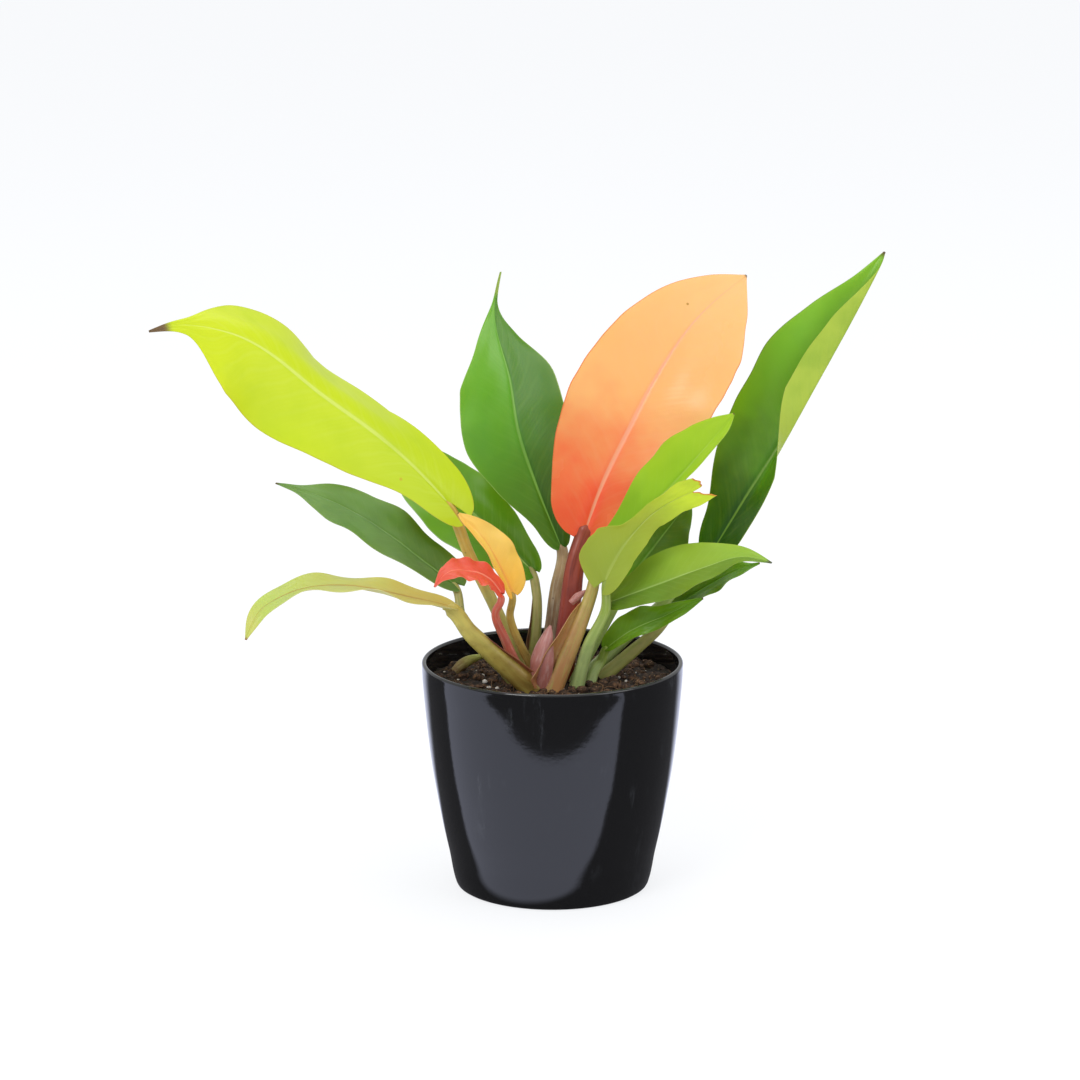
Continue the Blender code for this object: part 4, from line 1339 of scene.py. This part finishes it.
@dataclass
class Pot:
    """The tapered pot, in millimetres, with a rounded rim, a foot and drain holes."""

    height: float = 115.0
    rim_radius: float = 65.0
    wall: float = 2.4
    floor: float = 3.0
    outline: tuple[tuple[float, float], ...] = (
        (0.0, 47.0), (1.2, 48.3), (17.5, 51.75), (31.0, 54.7), (46.0, 57.5), (61.0, 60.0), (77.0, 62.0),
        (95.0, 63.8), (108.0, 64.8), (115.0, 65.0))
    sides: int = 180
    holes: int = 6
    hole_radius: float = 2.5
    hole_ring: float = 30.0
    finish: PotFinish = PotFinish()

    def outer(self, z: np.ndarray) -> np.ndarray:
        """Return the outer radius at each height."""
        heights, radii = zip(*self.outline)
        return smooth_values(heights, radii, z)

    def profile(self) -> list[tuple[float, float]]:
        """Return the (radius, height) outline from the underside's centre round to the floor's centre.

        Returns:
            The outline.
        """
        rise = 1.5 + (self.height - 3.1) * np.linspace(0.0, 1.0, POT_WALL_STEPS)
        wall = self.outer(rise)
        points = [(0.0, 0.0), (20.0, 0.0), (40.0, 0.0), (46.2, 0.0), (47.2, 0.15), (47.9, 0.6)]
        points += list(zip(wall, rise))
        centre = self.rim_radius - self.wall / 2
        for step in range(RIM_STEPS + 1):
            angle = pi * step / RIM_STEPS
            points.append((centre + self.wall / 2 * cos(angle),
                           self.height - self.wall / 2 + self.wall / 2 * sin(angle)))
        inner = np.linspace(self.height - 3.0, self.floor + 3.0, POT_INNER_STEPS)
        points += list(zip(self.outer(inner) - self.wall, inner))
        points += [(43.0, self.floor + 0.6), (40.0, self.floor), (20.0, self.floor), (0.0, self.floor)]
        return points

    def build(self, effects: Effects) -> bpy.types.Object:
        """Build the pot from its profile, drill its holes and dress it.

        Args:
            effects: the shared node groups.

        Returns:
            The new object.
        """
        vertices, faces = turned(self.profile(), self.sides)
        parts = MeshParts()
        parts.add(vertices, faces, np.zeros_like(vertices))
        pot = parts.build("pot_fine", self.finish.material("pot_plastic", effects), "pot_plastic", "pot")
        drill = bmesh.new()
        for hole in range(self.holes):
            angle = 2 * pi * (hole + 0.5) / self.holes
            made = bmesh.ops.create_cone(drill, cap_ends=True, segments=32, radius1=self.hole_radius * MM,
                                         radius2=self.hole_radius * MM, depth=3 * self.floor * MM)
            shift = (self.hole_ring * cos(angle) * MM, self.hole_ring * sin(angle) * MM, 0.0)
            bmesh.ops.translate(drill, verts=made["verts"], vec=shift)
        mesh = bpy.data.meshes.new("drill")
        drill.to_mesh(mesh)
        drill.free()
        cutter = bpy.data.objects.new("drill", mesh)
        bpy.context.scene.collection.objects.link(cutter)
        apply_cut(pot, cutter)
        return pot


def turned(profile: list[tuple[float, float]], sides: int) -> tuple[np.ndarray, list]:
    """Turn an outline about the Z axis.

    Args:
        profile: (radius, height) points that start and end on the axis.
        sides: how many steps make the full turn.

    Returns:
        The vertices and the faces.
    """
    vertices = [(0.0, 0.0, profile[0][1])]
    for radius, height in profile[1:-1]:
        for side in range(sides):
            angle = 2 * pi * side / sides
            vertices.append((radius * cos(angle), radius * sin(angle), height))
    vertices.append((0.0, 0.0, profile[-1][1]))
    rings = len(profile) - 2
    top = len(vertices) - 1
    faces = []
    for side in range(sides):
        following = (side + 1) % sides
        faces.append((0, 1 + following, 1 + side))
        last = 1 + (rings - 1) * sides
        faces.append((top, last + side, last + following))
        for ring in range(rings - 1):
            low = 1 + ring * sides
            faces.append((low + side, low + following, low + sides + following, low + sides + side))
    return np.array(vertices), faces


def apply_cut(piece: bpy.types.Object, cutter: bpy.types.Object) -> None:
    """Cut one object out of another for good and remove the cutter.

    Args:
        piece: the object to cut.
        cutter: the shape to take out of it.
    """
    cut = piece.modifiers.new("cut", "BOOLEAN")
    cut.operation = "DIFFERENCE"
    cut.solver = "EXACT"
    cut.object = cutter
    bpy.context.view_layer.update()
    shape = bpy.data.meshes.new_from_object(piece.evaluated_get(bpy.context.evaluated_depsgraph_get()))
    piece.modifiers.clear()
    piece.data = shape
    bpy.data.objects.remove(cutter, do_unlink=True)


@dataclass
class PottingMix:
    """The potting mix and what lies loose in it, in millimetres."""

    height: float = 104.6
    rings: int = 70
    sides: int = 220
    swell: float = 1.6
    bark_count: int = 1000
    perlite_count: int = 95
    fibre_count: int = 190
    seed: int = 7
    pot: Pot = field(default_factory=Pot)
    soil: CrumbFinish = CrumbFinish((0.014, 0.008, 0.005), (0.09, 0.045, 0.022), (0.2, 0.12, 0.06))
    bark: CrumbFinish = CrumbFinish((0.03, 0.014, 0.008), (0.2, 0.1, 0.045), (0.3, 0.18, 0.09), 420.0)
    perlite: CrumbFinish = CrumbFinish((0.62, 0.58, 0.52), (0.85, 0.83, 0.8), (0.5, 0.42, 0.33), 600.0,
                                       0.15, 0.8)
    fibre: CrumbFinish = CrumbFinish((0.14, 0.07, 0.03), (0.32, 0.18, 0.08), (0.4, 0.25, 0.12), 400.0, 0.2,
                                     0.8)

    def level(self, x: np.ndarray, y: np.ndarray) -> np.ndarray:
        """Return the surface's height at each place.

        Args:
            x: first coordinate.
            y: second coordinate.

        Returns:
            One height per place, in millimetres.
        """
        radius = np.hypot(x, y)
        heap = 1.2 * np.exp(-((x + 1.0) ** 2 + (y + 4.0) ** 2) / 420.0)
        lump = 2.6 * np.exp(-((x + 44.0) ** 2 + (y - 8.0) ** 2) / 120.0)
        waves = ripple(x * 0.11, y * 0.11, 1.4) * np.minimum(radius / 25.0, 1.0)
        crumbs = 0.8 * ripple(x * 0.55, y * 0.55, 2.9) + 0.5 * ripple(x * 1.5, y * 1.5, 5.1)
        return self.height + self.swell * 0.5 * waves + heap + lump + crumbs - 0.5

    def build_body(self, effects: Effects) -> bpy.types.Object:
        """Build the body of the mix with its uneven top.

        Args:
            effects: the shared node groups.

        Returns:
            The body of the mix.
        """
        edge = float(self.pot.outer(np.array([self.height]))[0]) - self.pot.wall - 0.2
        low = self.pot.floor + 0.3
        sides = [(float(self.pot.outer(np.array([z]))[0]) - self.pot.wall - 0.3, z)
                 for z in (low + 3.5, 17.5, 31.0, 46.0, 61.0, 77.0, 95.0)]
        profile = [(0.0, low), (40.0, low)] + sides
        top = [(edge * (self.rings - ring) / self.rings, self.height) for ring in range(self.rings)]
        vertices, faces = turned(profile + top + [(0.0, self.height)], self.sides)
        upper = vertices[:, 2] > self.height - 0.01
        vertices[upper, 2] = self.level(vertices[upper, 0], vertices[upper, 1])
        parts = MeshParts()
        parts.add(vertices, faces, np.zeros_like(vertices))
        material = self.soil.material("potting_mix", effects)
        return parts.build("potting_mix_fine", material, "potting_mix", "potting_mix")

    def spots(self, draw: np.random.Generator, count: int, reach: float) -> np.ndarray:
        """Draw places spread evenly over the surface, out to a radius, as (x, y) rows.

        Args:
            draw: the random source.
            count: how many places.
            reach: the radius they fill.

        Returns:
            One place per row.
        """
        radius = reach * np.sqrt(draw.random(count))
        angle = 2 * pi * draw.random(count)
        return np.stack([radius * np.cos(angle), radius * np.sin(angle)], 1)

    def scatter(self, draw: np.random.Generator, count: int, low: float, high: float,
                flat: float) -> MeshParts:
        """Scatter rough grains over the surface.

        Args:
            draw: the random source.
            count: how many grains.
            low: the smallest grain's radius.
            high: the largest grain's radius.
            flat: how flat the grains are, 1 for round.

        Returns:
            The grains as one set of closed bodies.
        """
        shape = bmesh.new()
        bmesh.ops.create_icosphere(shape, subdivisions=2, radius=1.0)
        ball = np.array([tuple(vertex.co) for vertex in shape.verts])
        faces = [tuple(vertex.index for vertex in face.verts) for face in shape.faces]
        shape.free()
        parts = MeshParts()
        for x, y in self.spots(draw, count, 58.5):
            size = low + (high - low) * draw.random() ** 2.2
            seed = draw.random() * 40.0
            rough = 1.0 + 0.32 * ripple(ball[:, 0] * 2.4 + seed, ball[:, 1] * 2.4 + ball[:, 2] * 1.9, seed)
            stretch = np.array([1.0, 0.55 + 0.5 * draw.random(), flat * (0.5 + 0.6 * draw.random())])
            turn = 2 * pi * draw.random()
            tilt = 0.7 * (draw.random() - 0.5)
            grain = ball * rough[:, None] * stretch * size
            grain = grain @ np.array([[cos(turn), sin(turn), 0], [-sin(turn), cos(turn), 0], [0, 0, 1.0]])
            grain = grain @ np.array([[1.0, 0, 0], [0, cos(tilt), sin(tilt)], [0, -sin(tilt), cos(tilt)]])
            height = float(self.level(np.array(x), np.array(y))) + size * 0.2
            parts.add(grain + np.array([x, y, height]), faces, np.zeros_like(grain))
        return parts

    def build_fibres(self, draw: np.random.Generator, effects: Effects) -> bpy.types.Object:
        """Build the fine roots and coir fibres that lie on the surface.

        Args:
            draw: the random source.
            effects: the shared node groups.

        Returns:
            The fibres.
        """
        parts = MeshParts()
        for x, y in self.spots(draw, self.fibre_count, 52.0):
            length = 3.0 + 9.0 * draw.random() ** 1.5
            heading = 2 * pi * draw.random()
            bend = 2.4 * (draw.random() - 0.5)
            rise = 0.4 + 2.2 * draw.random() ** 3
            radius = 0.09 + 0.12 * draw.random()
            steps = np.linspace(0.0, 1.0, FIBRE_STEPS)
            angle = heading + bend * steps
            px = x + np.cumsum(np.cos(angle)) * length / FIBRE_STEPS
            py = y + np.cumsum(np.sin(angle)) * length / FIBRE_STEPS
            pull = np.minimum(1.0, 59.0 / np.maximum(np.hypot(px, py), 1e-6))
            px, py = px * pull, py * pull
            pz = self.level(px, py) + rise * np.sin(pi * steps) + 0.1
            route = np.stack([px, py, pz], 1)
            across, flat = frames_along(route, (0.1, 0.2, 1.0))
            ring = []
            for row in range(len(route)):
                for side in range(FIBRE_SIDES):
                    turn = 2 * pi * side / FIBRE_SIDES
                    ring.append(route[row] + radius * (across[row] * cos(turn) + flat[row] * sin(turn)))
            parts.add(np.array(ring), ring_faces(len(route), FIBRE_SIDES), np.zeros((len(ring), 3)))
        return parts.build("root_fibres", self.fibre.material("root_fibres", effects), "potting_mix")

    def build(self, effects: Effects) -> None:
        """Build the mix, its bark crumbs, its perlite and its fibres.

        Args:
            effects: the shared node groups.
        """
        self.build_body(effects)
        draw = np.random.default_rng(self.seed)
        bark = self.scatter(draw, self.bark_count, 0.5, 3.4, 0.7)
        bark.build("bark_crumbs", self.bark.material("bark_crumbs", effects), "potting_mix")
        perlite = self.scatter(draw, self.perlite_count, 0.4, 1.6, 0.85)
        perlite.build("perlite_grains", self.perlite.material("perlite_grains", effects), "potting_mix")
        self.build_fibres(draw, effects)


@dataclass
class Crown:
    """The crown's rough stem top and the small scales around it, in millimetres."""

    centre: tuple[float, float] = (-1.0, -3.0)
    radius: float = 9.0
    base: float = 103.5
    rise: float = 6.0
    bark: CrumbFinish = CrumbFinish((0.1, 0.035, 0.018), (0.3, 0.13, 0.06), (0.4, 0.2, 0.1), 260.0, 0.2, 0.8)
    pink: StalkFinish = StalkFinish((0.42, 0.15, 0.12), (0.45, 0.19, 0.17), (0.6, 0.38, 0.34), 0.45, 1.4, 0.3)
    paper: StalkFinish = StalkFinish((0.1, 0.04, 0.02), (0.26, 0.12, 0.05), (0.45, 0.33, 0.2), 0.6, 3.0,
                                     0.65, 0.6)
    withered: StalkFinish = StalkFinish((0.2, 0.12, 0.04), (0.38, 0.42, 0.08), (0.5, 0.5, 0.2), 0.5, 1.2,
                                        0.6, 0.6)

    def build_stem(self, effects: Effects) -> bpy.types.Object:
        """Build the stem's top as a rough dome.

        Args:
            effects: the shared node groups.

        Returns:
            The stem's top.
        """
        profile = [(0.0, self.base), (self.radius, self.base)]
        for step in range(1, 14):
            angle = pi / 2 * step / 14
            profile.append((self.radius * cos(angle), self.base + self.rise * sin(angle)))
        profile.append((0.0, self.base + self.rise))
        vertices, faces = turned(profile, 48)
        rough = 1.0 + 0.08 * ripple(vertices[:, 0] * 0.9, vertices[:, 1] * 0.9 + vertices[:, 2], 3.3)
        vertices[:, :2] = vertices[:, :2] * rough[:, None] + np.array(self.centre)
        parts = MeshParts()
        parts.add(vertices, faces, np.zeros_like(vertices))
        return parts.build("crown_fine", self.bark.material("crown_bark", effects), "crown_bark", "crown")

    def build_scale(self, node: str, route: tuple[Point, ...], width: float, cup: float, peak: float,
                    finish: StalkFinish, effects: Effects) -> bpy.types.Object:
        """Build one cupped scale: a thin pointed sheet that wraps around its own axis.

        Args:
            node: the model's node that it replaces.
            route: its middle line, foot to tip.
            width: its greatest half width.
            cup: how far it wraps, in radians from the middle to the edge.
            peak: where along it the width is greatest.
            finish: its finish.
            effects: the shared node groups.

        Returns:
            The scale.
        """
        rows, columns = SCALE_ROWS, SCALE_COLUMNS
        path = smooth_path(route, rows)
        across, flat = frames_along(path, (0.3, 1.0, 0.0))
        t = np.linspace(0.0, 1.0, rows)
        half = width * smooth_values((0.0, peak, 0.85, 1.0), (0.75, 1.0, 0.42, 0.04), t)
        grid = np.zeros((rows, columns, 3))
        for column in range(columns):
            s = 2.0 * column / (columns - 1) - 1.0
            angle = s * cup
            bulge = half / cup
            grid[:, column] = (path - flat * (bulge * sin(angle))[:, None]
                               - across * (bulge * (cos(angle) - cos(cup)))[:, None])
        grid += across[:, None, :] * (0.12 * ripple(t * 20.0, t, 2.0))[:, None, None]
        normals = unit(np.cross(np.gradient(grid, axis=1), np.gradient(grid, axis=0)))
        vertices = np.concatenate([(grid + normals * 0.3).reshape(-1, 3),
                                   (grid - normals * 0.3).reshape(-1, 3)])
        around, rise = np.meshgrid(np.linspace(0.0, 3.0, columns), t)
        values = np.stack([rise, around, np.zeros_like(rise)], 2).reshape(-1, 3)
        parts = MeshParts()
        parts.add(vertices, sheet_faces(rows, columns), np.concatenate([values, values]))
        return parts.build(node + "_fine", finish.material(node, effects), node, node)

    def build(self, effects: Effects) -> None:
        """Build the stem's top and the four small pieces.

        Args:
            effects: the shared node groups.
        """
        self.build_stem(effects)
        self.build_scale("pink_scale", ((-6, -20, 106), (-5, -21, 121), (-1, -20, 138)), 7.5, 1.25, 0.4,
                         self.pink, effects)
        self.build_scale("dried_sheath", ((1, 3, 106), (4, 3, 122), (6, 4, 145)), 3.4, 1.4, 0.3,
                         self.paper, effects)
        self.build_scale("sheath_tip", ((9, -11, 147), (13, -10, 150.5), (17, -9, 153)), 2.2, 1.1, 0.4,
                         self.pink, effects)
        self.build_scale("old_leaf_base", ((-49, 3, 108), (-43, 6, 112.5), (-33, 9, 115)), 4.6, 1.9, 0.3,
                         self.withered, effects)


# ---------------------------------------------------------------- studio


@dataclass
class Studio:
    """A pale floor, soft lights and the camera."""

    lens: float = 144.0
    sensor: float = 36.0
    distance: float = 2.135
    pitch: float = 13.5
    aim: Point = (-0.0062, 0.0, 0.1764)
    # Painted reflection: the shape of the bright stretch, and the dark and bright colours that the floor
    # glows for glossy rays.
    bright_reach: float = 0.215
    bright_start: float = 0.057
    bright_slant: float = 0.39
    painted_reflection_dark: Colour = (0.1, 0.1, 0.11)
    painted_reflection_bright: Colour = (0.95, 1.0, 1.25)

    def build_floor(self) -> bpy.types.Object:
        """Build the pale floor, which lies just under the pot.

        Mirror-like surfaces see a painted reflection on it: for glossy rays it glows dark, with one bright
        stretch in front of the pot and a pale one behind.
        """
        mesh = bpy.data.meshes.new("floor")
        reach = 30.0
        low = -0.0002
        mesh.from_pydata([(-reach, -reach, low), (reach, -reach, low), (reach, reach, low),
                          (-reach, reach, low)],
                         [], [(0, 1, 2, 3)])
        nodes, material, shader = start_material("pale_floor")
        shader.inputs["Base Color"].default_value = (0.86, 0.87, 0.89, 1.0)
        shader.inputs["Roughness"].default_value = 0.9
        shader.inputs["Specular IOR Level"].default_value = 0.1
        geometry = nodes.add("ShaderNodeNewGeometry")
        x, y, _ = nodes.split(geometry.outputs["Position"])
        # Painted reflection: mask of the bright stretch in front of the pot and the pale band behind, seen
        # only by glossy rays.
        angle = nodes.math("ABSOLUTE", nodes.math("ARCTAN2", x, nodes.math("MULTIPLY", y, -1.0)))
        near = nodes.step(y, -self.bright_reach - 0.008, -self.bright_reach + 0.008)
        slant = nodes.math("ADD", y, nodes.math("MULTIPLY", x, self.bright_slant))
        clear = nodes.math("SUBTRACT", 1.0,
                           nodes.step(slant, -self.bright_start - 0.004, -self.bright_start + 0.004))
        seen = nodes.math("MAXIMUM", nodes.math("MULTIPLY", near, clear), nodes.step(angle, 2.3, 2.6))
        painted_reflection_glow = nodes.add("ShaderNodeEmission")
        nodes.join(nodes.mix(seen, self.painted_reflection_dark, self.painted_reflection_bright), painted_reflection_glow.inputs["Color"])
        lit = nodes.add("ShaderNodeEmission")
        lit.inputs["Color"].default_value = (1.09, 1.1, 1.12, 1.0)
        plain = nodes.add("ShaderNodeMixShader")
        plain.inputs[0].default_value = 0.3
        nodes.join(lit.outputs[0], plain.inputs[1])
        nodes.join(shader.outputs[0], plain.inputs[2])
        path = nodes.add("ShaderNodeLightPath")
        seen_plain = nodes.add("ShaderNodeMixShader")
        nodes.join(path.outputs["Is Camera Ray"], seen_plain.inputs[0])
        nodes.join(shader.outputs[0], seen_plain.inputs[1])
        nodes.join(plain.outputs[0], seen_plain.inputs[2])
        # Glossy rays see the painted reflection glow; camera rays see the evenly bright floor.
        both = nodes.add("ShaderNodeMixShader")
        nodes.join(path.outputs["Is Glossy Ray"], both.inputs[0])
        nodes.join(seen_plain.outputs[0], both.inputs[1])
        nodes.join(painted_reflection_glow.outputs[0], both.inputs[2])
        nodes.join(both.outputs[0], material.node_tree.nodes["Material Output"].inputs["Surface"])
        mesh.materials.append(material)
        floor = bpy.data.objects.new("floor", mesh)
        bpy.context.scene.collection.objects.link(floor)
        return floor

    def build_light(self, name: str, place: Point, target: Point, size: tuple[float, float], power: float,
                    colour: Colour = (1.0, 1.0, 1.0)) -> None:
        """Add one soft rectangular light.

        Args:
            name: the light's name.
            place: where it stands, in metres.
            target: the point it faces.
            size: its width and height.
            power: its power in watts.
            colour: its tint.
        """
        lamp = bpy.data.lights.new(name, "AREA")
        lamp.shape = "RECTANGLE"
        lamp.size, lamp.size_y = size
        lamp.energy = power
        lamp.color = colour
        holder = bpy.data.objects.new(name, lamp)
        holder.location = place
        holder.rotation_euler = (Vector(target) - Vector(place)).to_track_quat("-Z", "Y").to_euler()
        holder.visible_camera = False
        bpy.context.scene.collection.objects.link(holder)

    def build_world(self) -> None:
        """Light the scene evenly from a near-white sky, white where the sky itself is seen."""
        world = bpy.data.worlds.new("studio")
        bpy.context.scene.world = world
        world.use_nodes = True
        nodes = Nodes(world.node_tree)
        path = nodes.add("ShaderNodeLightPath")
        background = world.node_tree.nodes["Background"]
        shade = nodes.mix(path.outputs["Is Camera Ray"], (0.66, 0.67, 0.68), (0.965, 0.975, 0.99))
        nodes.join(shade, background.inputs["Color"])
        background.inputs["Strength"].default_value = 1.0

    def build_camera(self) -> None:
        """Add the camera, a little above the plant and looking down at it."""
        data = bpy.data.cameras.new("camera")
        data.lens = self.lens
        data.sensor_width = self.sensor
        data.clip_end = 100.0
        camera = bpy.data.objects.new("camera", data)
        tilt = radians(self.pitch)
        camera.location = (self.aim[0], self.aim[1] - self.distance * cos(tilt),
                           self.aim[2] + self.distance * sin(tilt))
        camera.rotation_euler = (pi / 2 - tilt, 0.0, 0.0)
        bpy.context.scene.collection.objects.link(camera)
        bpy.context.scene.camera = camera

    def build(self) -> None:
        """Build the floor, the sky, the lights and the camera."""
        self.build_floor()
        self.build_world()
        self.build_light("key", (-1.0, -1.6, 1.7), (0.0, 0.0, 0.15), (1.0, 1.0), 20.0)
        self.build_light("fill", (1.6, -1.0, 1.1), (0.0, 0.0, 0.15), (1.2, 1.2), 8.0)
        self.build_light("top", (0.1, 0.5, 2.0), (0.0, 0.0, 0.1), (1.6, 1.6), 12.0)
        self.build_camera()
        view = bpy.context.scene.view_settings
        view.view_transform = "Standard"
        view.look = "None"


def main() -> None:
    """Build every piece in order, then the studio."""
    logging.basicConfig(level=logging.INFO, format="%(name)s: %(message)s")
    effects = Effects()
    pot = Pot()
    pot.build(effects)
    PottingMix(pot=pot).build(effects)
    Crown().build(effects)
    for leaf in make_leaves():
        leaf.build_stalk(effects)
        leaf.build_blade(effects)
    Studio().build()


if __name__ == "__main__":
    main()
